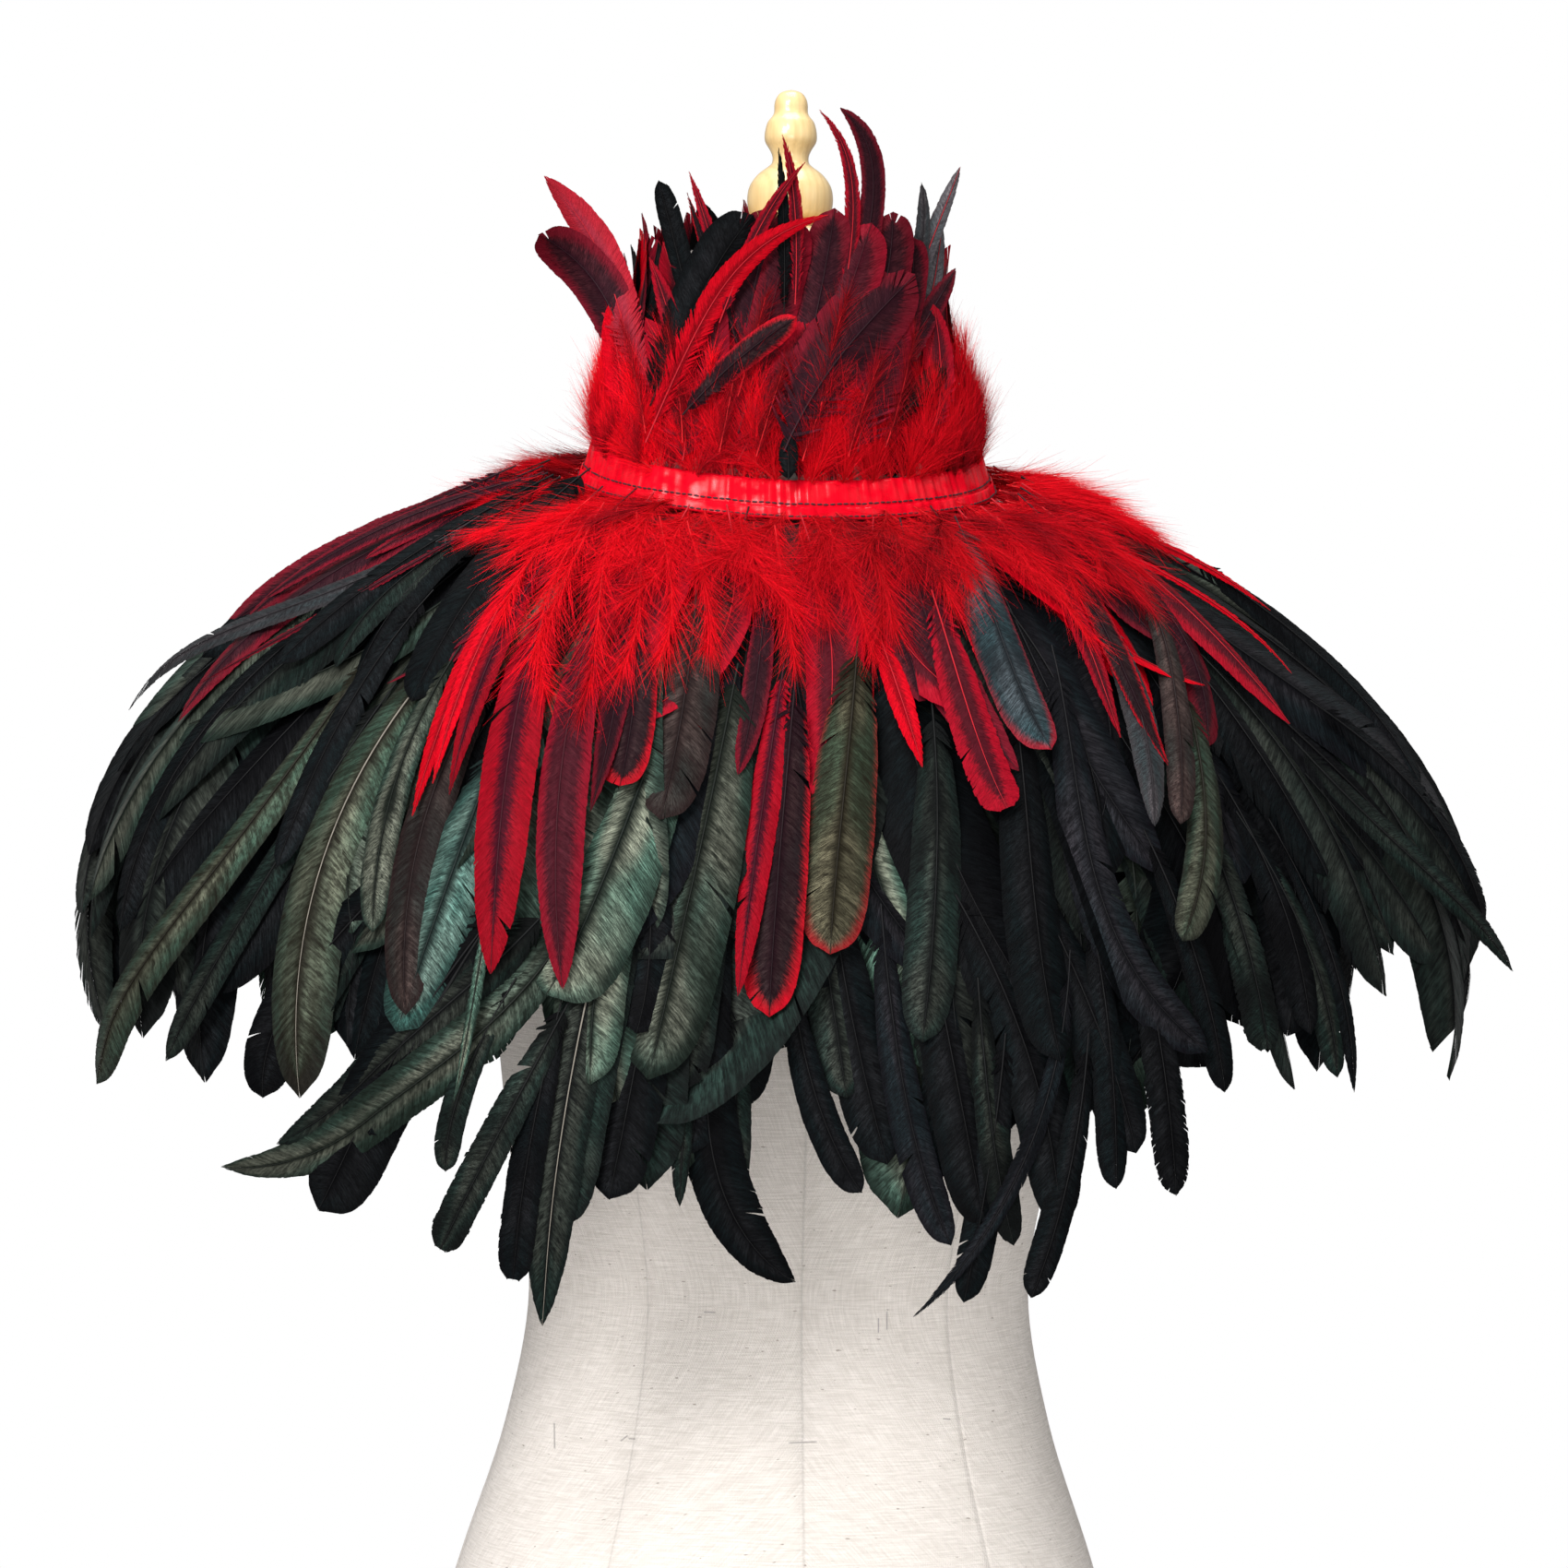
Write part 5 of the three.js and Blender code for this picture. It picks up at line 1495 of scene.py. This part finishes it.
def linen_skin():
    heights = np.concatenate([np.linspace(0, 500, 66), np.linspace(506, 699, 34)])
    columns = 144
    angles = np.linspace(0, 2 * math.pi, columns + 1)
    grid, flat, from_seams = [], [], []
    for height in heights:
        x, y = form_ring(height, angles)
        front_seam, back_seam = [math.cos(math.radians(np.interp(height, [0, 223, 470], s))) for s in BUST_SEAMS]
        middle_seams = np.sin(2 * angles[:-1]) / 2
        bust_seams = (np.cos(angles[:-1]) - front_seam) * (np.cos(angles[:-1]) - back_seam)
        bust_seams /= 0.55 * (front_seam - back_seam)
        from_seams.append(np.stack([middle_seams, bust_seams, 0 * middle_seams], axis=1) * 0.13)
        z = np.full_like(x, height + BASE + GAP)
        points = np.stack([x, y, z], axis=1)
        around = np.concatenate([[0], np.cumsum(np.linalg.norm(np.diff(points, axis=0), axis=1))])
        grid.append(points[:-1])
        flat.append(np.stack([(around - around[-1] / 2) * MM, np.full_like(x, height) * MM], axis=1))
    mesh = grid_mesh("linen_skin", grid, True, flat)
    made = mesh.attributes.new("from_seams", "FLOAT_VECTOR", "POINT")
    made.data.foreach_set("vector", np.concatenate(from_seams).astype(np.float32).ravel())
    return mesh


def seam_lines(tree, width):
    """1 on the seams and 0 away from them. The attribute changes sign on each seam."""
    away = attribute(tree, "from_seams", 1)
    nearest = away.part(0).math("ABSOLUTE").math("MINIMUM", away.part(1).math("ABSOLUTE"))
    return 1.0 - nearest.step(0.0, width)


PENCIL = [
    # middle in the picture, length in pixels, angle in degrees: marks of the maker on the linen
    ((602, 1555), 30, 90), ((678, 1561), 11, 40), ((686, 1558), 8, 0), ((869, 1562), 34, 2), ((1025, 1539), 10, -8),
    ((950, 1437), 18, 90), ((962, 1430), 22, 90), ((770, 1425), 14, 0),
]


def on_the_form(spot):
    """The point of the form, in metres, that the picture shows at a pixel."""
    found = []
    for height in np.arange(60.0, 300.0, 2.0):
        angles = np.radians(np.arange(-75.0, 76.0, 1.0))
        x, y = form_ring(height, angles)
        points = np.stack([x, y, np.full_like(x, height + BASE + GAP)], axis=1) * MM
        px, py = in_picture(points)
        gap = np.hypot(px - spot[0], py - spot[1])
        found.append((float(gap.min()), points[int(gap.argmin())]))
    return min(found, key=lambda pair: pair[0])[1]


def pencil_marks(tree):
    """Short thin lines on the front of the linen, at the places that the picture shows."""
    place = object_place(tree)
    marks = None
    for spot, long, angle in PENCIL:
        centre = on_the_form(spot)
        turn = math.radians(angle)
        across, up = place.part(0) - float(centre[0]), place.part(2) - float(centre[2])
        along = (across * math.cos(turn) + up * math.sin(turn)).math("ABSOLUTE")
        aside = (up * math.cos(turn) - across * math.sin(turn)).math("ABSOLUTE")
        half = long / 2 * 0.4 * MM
        mark = (1.0 - along.step(half * 0.8, half)) * (1.0 - aside.step(0.00015, 0.00045))
        marks = mark if marks is None else marks.math("MAXIMUM", mark)
    return marks * (1.0 - place.part(1).step(-0.03, 0.0))


def linen_colour(tree):
    cloth = cloth_place(tree)
    across, up = cloth.part(0), cloth.part(1)
    slubs = noise(tree, together(tree, across * 14.0, up * 260.0, 0.0), 5.0, 4.0, 0.7)
    warp = noise(tree, together(tree, across * 300.0, up * 16.0, 4.0), 5.0, 3.0, 0.6)
    threads = (slubs * 0.6 + warp * 0.4).step(0.35, 0.68)
    base = mix_colours(tree, threads, (0.57, 0.52, 0.475, 1), (0.79, 0.735, 0.69, 1))
    flecks = noise(tree, together(tree, across * 60.0, up * 160.0, 9.0), 4.0, 1.0, 0.4).step(0.735, 0.77)
    base = mix_colours(tree, flecks * 0.6, base, (0.16, 0.12, 0.09, 1))
    broad = noise(tree, cloth, 9.0, 2.0) * 0.12 + 0.93
    # The thin dark line is the seam itself. The faint wider band beside it is painted shade of the puckers.
    seams = seam_lines(tree, 0.0008) * 0.16 + seam_lines(tree, 0.005) * 0.03
    base = mix_colours(tree, pencil_marks(tree) * 0.55, base, (0.13, 0.12, 0.12, 1))
    return shade_colour(tree, base, broad * (1.0 - seams))


def linen_bump(tree):
    cloth = cloth_place(tree)
    across, up = cloth.part(0), cloth.part(1)
    weft = (up * (2 * math.pi / 0.0011)).math("SINE")
    warp = (across * (2 * math.pi / 0.0011)).math("SINE")
    slubs = noise(tree, together(tree, across * 14.0, up * 260.0, 0.0), 5.0, 4.0, 0.7)
    return (weft * warp * 0.25 + slubs * 1.4 - seam_lines(tree, 0.0025) * 1.2), 0.0003


linen = finish_of("slubbed_linen", linen_colour, {"Roughness": 0.92, "Specular IOR Level": 0.2, "Sheen Weight": 0.1},
                  bump=linen_bump)
skin = link("linen_skin", linen_skin())
skin.data.materials.append(linen)
print("linen skin faces:", len(skin.data.polygons))

# %% [markdown]
# ## Turned pine
#
# The finial is turned on a lathe: a bell, a neck, a ball and a point. Its mesh is
# a profile spun round the axis, with a soft curve through the profile's points
# and one sharp edge at its foot. The neck cap is turned too, and the base board
# is the lowest section of the form with its edges rounded.

# %% Base board, neck cap and finial
TURNED_STEPS = 72


def turned_mesh(name, profile, foot):
    """A shape turned on a lathe from a profile of radius and height in mm."""
    angles = np.linspace(0, 2 * math.pi, TURNED_STEPS, endpoint=False)
    grid = [
        np.stack([r * np.cos(angles), r * np.sin(angles), np.full(TURNED_STEPS, h + foot)], axis=1)
        for r, h in np.array(profile, float)
    ]
    return merged(grid_mesh(name, grid, True), 0.00002)


def smooth_profile(points, steps, sharp):
    """More points along a turned profile, as a curve through the ones given."""
    points = np.array(points, float)
    found = []
    for i in range(len(points) - 1):
        before, after = points[max(i - 1, 0)], points[min(i + 2, len(points) - 1)]
        if i in sharp:
            before = points[i]
        if i + 1 in sharp:
            after = points[i + 1]
        for t in np.linspace(0, 1, steps, endpoint=False):
            found.append(
                0.5 * (2 * points[i] + (points[i + 1] - before) * t
                       + (2 * before - 5 * points[i] + 4 * points[i + 1] - after) * t * t
                       + (3 * points[i] - before - 3 * points[i + 1] + after) * t**3)
            )
    found.append(points[-1])
    found = np.array(found)
    found[:, 0] = np.maximum(found[:, 0], 0)
    return found


FINIAL = [(0, 0), (13, 0), (13.5, 2), (12, 3.5), (17.6, 7), (19.3, 11), (19.8, 16.5), (18.6, 22), (15, 27),
          (10.5, 30.5), (8.6, 32.5), (8.4, 35.5), (9.6, 38.5), (11.7, 42), (12.1, 45), (11.6, 48.5), (10.6, 51.5),
          (8.6, 54), (7.8, 56), (7.7, 59.5), (6.8, 62.5), (4.6, 65), (0, 66.3)]
NECK_CAP = [(0, 0), (35.5, 0), (36, 0.6), (38, 2), (38.2, 4), (38, 6), (36.6, 8.4), (35, 9.4), (32, 10), (0, 10)]


def pine_colour(tree):
    place = object_place(tree)
    wander = noise(tree, place, 22.0, 2.0) * 0.006
    rings = (place.part(0) + place.part(1) * 0.35 + wander + place.part(2) * 0.03) * (2 * math.pi / 0.0042)
    rings = (rings.math("SINE") * 0.5 + 0.5) ** 2.2
    fibres = noise(tree, together(tree, place.part(0) * 900.0, place.part(1) * 900.0, place.part(2) * 30.0), 1.0, 3.0)
    wood = mix_colours(tree, rings * 0.3, (0.68, 0.49, 0.23, 1), (0.52, 0.32, 0.115, 1))
    return shade_colour(tree, wood, fibres * 0.3 + 0.88)


pine = finish_of("varnished_pine", pine_colour, {"Roughness": 0.42, "Coat Weight": 0.6, "Coat Roughness": 0.12})
base_heights = [(3.2, 0.0), (2.2, 0.8), (2.0, 2.0), (2.0, 10.0), (2.4, 11.4), (3.4, 12.0)]
ring_angles = np.linspace(0, 2 * math.pi, 160, endpoint=False)
base_grid = []
for inset, height in base_heights:
    x, y = form_ring(0.0, ring_angles, inset)
    base_grid.append(np.stack([x, y, np.full_like(x, height)], axis=1))
base_grid.insert(0, base_grid[0] * np.array([0.001, 0.001, 1]))
base_grid.append(base_grid[-1] * np.array([0.001, 0.001, 1]))
base_mesh = merged(grid_mesh("base_board", base_grid, True), 0.0006)
CAP_FOOT = 711.6
FINIAL_FOOT = 721.9
for name, mesh, node, slot in (
    ("base_board", base_mesh, "form_base", "pine"),
    ("neck_cap", turned_mesh("neck_cap", NECK_CAP, CAP_FOOT), "form_neck_cap", "pine"),
    ("finial", turned_mesh("finial", smooth_profile(FINIAL, 5, (1,)), FINIAL_FOOT), "form_finial", "pine"),
):
    piece = link(name, mesh)
    mesh.materials.append(pine)
    for face in mesh.polygons:
        face.use_smooth = True
    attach(piece, "root")
    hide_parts(node)
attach(skin, "root")
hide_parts("form_torso")
print("form pieces made")

# %% [markdown]
# ## Yoke, ribbon and closing lap
#
# The feathers are stitched to a curved yoke of black cotton, which hides under
# them. The neck is finished with a red satin ribbon, gathered a little so that
# it follows the curve. Its lower edge is turned up and stitched twice in dark
# thread, and at the back the ribbon laps over itself.

# %% Cloth pieces
def shell(name, grid, flat, thickness, finish):
    """A thin cloth with a wall, made from its outer face inwards."""
    mesh = grid_mesh(name, grid, False, flat)
    piece = link(name, mesh)
    piece.data.materials.append(finish)
    wall = piece.modifiers.new("wall", "SOLIDIFY")
    wall.thickness = thickness * MM
    wall.offset = -1.0
    return piece


def cloth_flat(grid):
    """Lengths along and up a grid of points, in metres."""
    grid = np.asarray(grid)
    along = np.linalg.norm(np.diff(grid, axis=1), axis=2)
    middle = along[len(along) // 2]
    u = np.concatenate([[0], np.cumsum(middle)])
    v = np.concatenate([[0], np.cumsum(np.linalg.norm(np.diff(grid[:, 0], axis=0), axis=1))])
    return np.stack(np.meshgrid(u * MM, v * MM), axis=-1)


BACK_SLIT = 1.4
yoke_directions = np.linspace(-180 + BACK_SLIT, 180 - BACK_SLIT, 200)
yoke_grid = [cape_point(yoke_directions, length, -0.45) for length in np.linspace(80, -2, 26)]


def cotton_colour(tree):
    weave = noise(tree, cloth_place(tree), 900.0)
    return shade_colour(tree, (0.012, 0.012, 0.013, 1), weave * 1.2 + 0.4)


cotton = finish_of("black_cotton", cotton_colour, {"Roughness": 0.95, "Specular IOR Level": 0.2})
yoke = shell("cotton_yoke", yoke_grid, cloth_flat(yoke_grid), 1.1, cotton)


def satin_colour(tree):
    cloth = cloth_place(tree)
    weave = noise(tree, together(tree, cloth.part(0) * 400.0, cloth.part(1) * 4000.0, 0.0), 1.0, 2.0)
    return shade_colour(tree, (0.62, 0.001, 0.011, 1), weave * 0.35 + 0.8)


def satin_coat(tree):
    """The float threads of satin shine in patches, where the gathers press them flat."""
    cloth = cloth_place(tree)
    patches = noise(tree, together(tree, cloth.part(0) * 90.0, cloth.part(1) * 110.0, 2.0), 1.0, 2.0)
    threads = noise(tree, together(tree, cloth.part(0) * 300.0, cloth.part(1) * 2600.0, 5.0), 1.0, 2.0)
    return patches.step(0.4, 0.66) * (threads * 0.8 + 0.1)


def satin_bump(tree):
    cloth = cloth_place(tree)
    creases = noise(tree, together(tree, cloth.part(0) * 150.0, cloth.part(1) * 26.0, 0.0), 1.0, 3.0, 0.5)
    weave = noise(tree, together(tree, cloth.part(0) * 500.0, cloth.part(1) * 5000.0, 0.0), 1.0, 1.0)
    return creases + weave * 0.06, 0.0014


satin = finish_of("red_satin", satin_colour, {"Roughness": 0.5, "Specular IOR Level": 0.02, "Coat Roughness": 0.24},
                  bump=satin_bump)
shine = satin_coat(satin.node_tree)
satin.node_tree.links.new(shine.socket, satin.node_tree.nodes["Principled BSDF"].inputs["Coat Weight"])
band_directions = np.linspace(-180 + BACK_SLIT, 180 - BACK_SLIT, 640)
GATHER_DEPTH = 0.3
WRINKLES = np.random.default_rng(41).uniform(0, 2 * math.pi, 8)


def ribbon_row(directions, share, height, out):
    """One line round the ribbon. Wrinkles run up and down and fade at the stitched edge."""
    angle = np.radians(directions)
    wave = GATHER_DEPTH * np.cos(angle * BAND["gathers"])
    for k, phase in enumerate(WRINKLES):
        patch = 0.5 + 0.5 * np.cos(angle * (3 + k % 4) + 2 * phase)
        wave = wave + 0.3 * patch**2 * np.cos(angle * (39 + 15 * k) + phase + 1.4 * share) * (0.35 + share * 0.65)
    edge = 0.25 * math.exp(-(((share - 1) / 0.05) ** 2)) + 0.2 * math.exp(-(((share - 0.34) / 0.03) ** 2))
    return band_point(directions, height, out + wave - edge)


def ribbon_grid(low, high, out, rows, directions=band_directions):
    return [ribbon_row(directions, height / BAND["height"], height, out) for height in np.linspace(low, high, rows)]


band_grid = ribbon_grid(0.2, BAND["height"], 0.75, 13)
band = shell("neck_ribbon", band_grid, cloth_flat(band_grid), 0.5, satin)
hem_grid = ribbon_grid(0.0, 6.0, 2.0, 6)
hem = shell("ribbon_hem", hem_grid, cloth_flat(hem_grid), 0.5, satin)
lap_directions = np.linspace(168, 190, 46)
lap_grid = ribbon_grid(7.0, 18.0, 2.3, 8, lap_directions)
lap = shell("ribbon_lap", lap_grid, cloth_flat(lap_grid), 0.6, satin)

for piece, node, slot in (
    (yoke, "yoke", "black_cotton"),
    (band, "neck_band", "red_satin"),
    (hem, "band_binding", "red_satin"),
    (lap, "closing_lap", "red_satin"),
):
    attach(piece, "root")
    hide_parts(node)
print("cloth pieces made")

# %% [markdown]
# ## Stitches
#
# Two rows of dark thread hold the ribbon. A stitch is a short bead of thread, so
# one small shape is placed along each line and turned to follow it.

# %% Thread
def stitch_tree():
    tree = bpy.data.node_groups.new("stitches", "GeometryNodeTree")
    for name, kind, value in (
        ("Line", "NodeSocketGeometry", None),
        ("Stitch spacing", "NodeSocketFloat", 0.0030),
        ("Stitch length", "NodeSocketFloat", 0.0027),
        ("Thread thickness", "NodeSocketFloat", 0.0009),
        ("Thread finish", "NodeSocketMaterial", None),
    ):
        made = tree.interface.new_socket(name, in_out="INPUT", socket_type=kind)
        if value is not None:
            made.default_value = value
    tree.interface.new_socket("Stitches", in_out="OUTPUT", socket_type="NodeSocketGeometry")
    given = tree.nodes.new("NodeGroupInput")
    wire = lambda name: Wire(tree, given.outputs[name])
    curve = add_node(tree, "GeometryNodeMeshToCurve", {}, {"Mesh": wire("Line")})
    points = tree.nodes.new("GeometryNodeCurveToPoints")
    points.mode = "LENGTH"
    tree.links.new(curve.socket, points.inputs["Curve"])
    tree.links.new(given.outputs["Stitch spacing"], points.inputs["Length"])
    bead = add_node(tree, "GeometryNodeMeshUVSphere", {}, {"Segments": 6, "Rings": 4, "Radius": 0.5})
    size = together(tree, wire("Thread thickness"), wire("Thread thickness"), wire("Stitch length"))
    stitched = add_node(
        tree,
        "GeometryNodeInstanceOnPoints",
        {},
        {"Points": Wire(tree, points.outputs[0]), "Instance": bead, "Rotation": Wire(tree, points.outputs["Rotation"]),
         "Scale": size},
    )
    stitched = add_node(tree, "GeometryNodeRealizeInstances", {}, {"Geometry": stitched})
    stitched = add_node(tree, "GeometryNodeSetMaterial", {}, {"Geometry": stitched, "Material": wire("Thread finish")})
    out = tree.nodes.new("NodeGroupOutput")
    tree.links.new(stitched.socket, out.inputs[0])
    return tree


STITCHES = stitch_tree()
thread = finish_of(
    "dark_thread",
    lambda tree: shade_colour(tree, (0.03, 0.004, 0.01, 1), noise(tree, object_place(tree), 1500.0) + 0.5),
    {"Roughness": 0.7},
)


def stitch_line(name, rows):
    mesh = bpy.data.meshes.new(name + "_lines")
    points, edges = [], []
    for grid_row in rows:
        start = len(points)
        points += (np.asarray(grid_row) * MM).tolist()
        edges += [(start + i, start + i + 1) for i in range(len(grid_row) - 1)]
    mesh.from_pydata(points, edges, [])
    source = link(name + "_lines", mesh)
    modifier = source.modifiers.new("stitches", "NODES")
    modifier.node_group = STITCHES
    for item in STITCHES.interface.items_tree:
        if item.name == "Thread finish":
            modifier[item.identifier] = thread
    made = bpy.data.meshes.new_from_object(source.evaluated_get(bpy.context.evaluated_depsgraph_get()))
    bpy.data.objects.remove(source)
    piece = link(name, made)
    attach(piece, "root")
    return piece


SEAM_LINES = [
    # height on the ribbon, distance out from it
    (7.6, 1.0),
    (1.3, 2.2),
]
seam_rows = [ribbon_row(band_directions, height / BAND["height"], height, out) for height, out in SEAM_LINES]
stitches = stitch_line("ribbon_stitches", seam_rows)
print("stitches:", len(stitches.data.polygons), "faces")

# %% [markdown]
# ## What the cloth was cut from
#
# The yoke was cut as an open ring and draped on the shoulders. Laid flat, a cone
# is part of a ring, given by its outer edge, its inner edge and its depth. Here
# the depth of the yoke is measured along its middle. The ribbon is a straight
# strip, gathered into the neckline, with its turned hem, its lap and the thread.


ring = np.asarray(yoke_grid)
deep = float(np.linalg.norm(np.diff(ring[:, 100], axis=0), axis=1).sum())
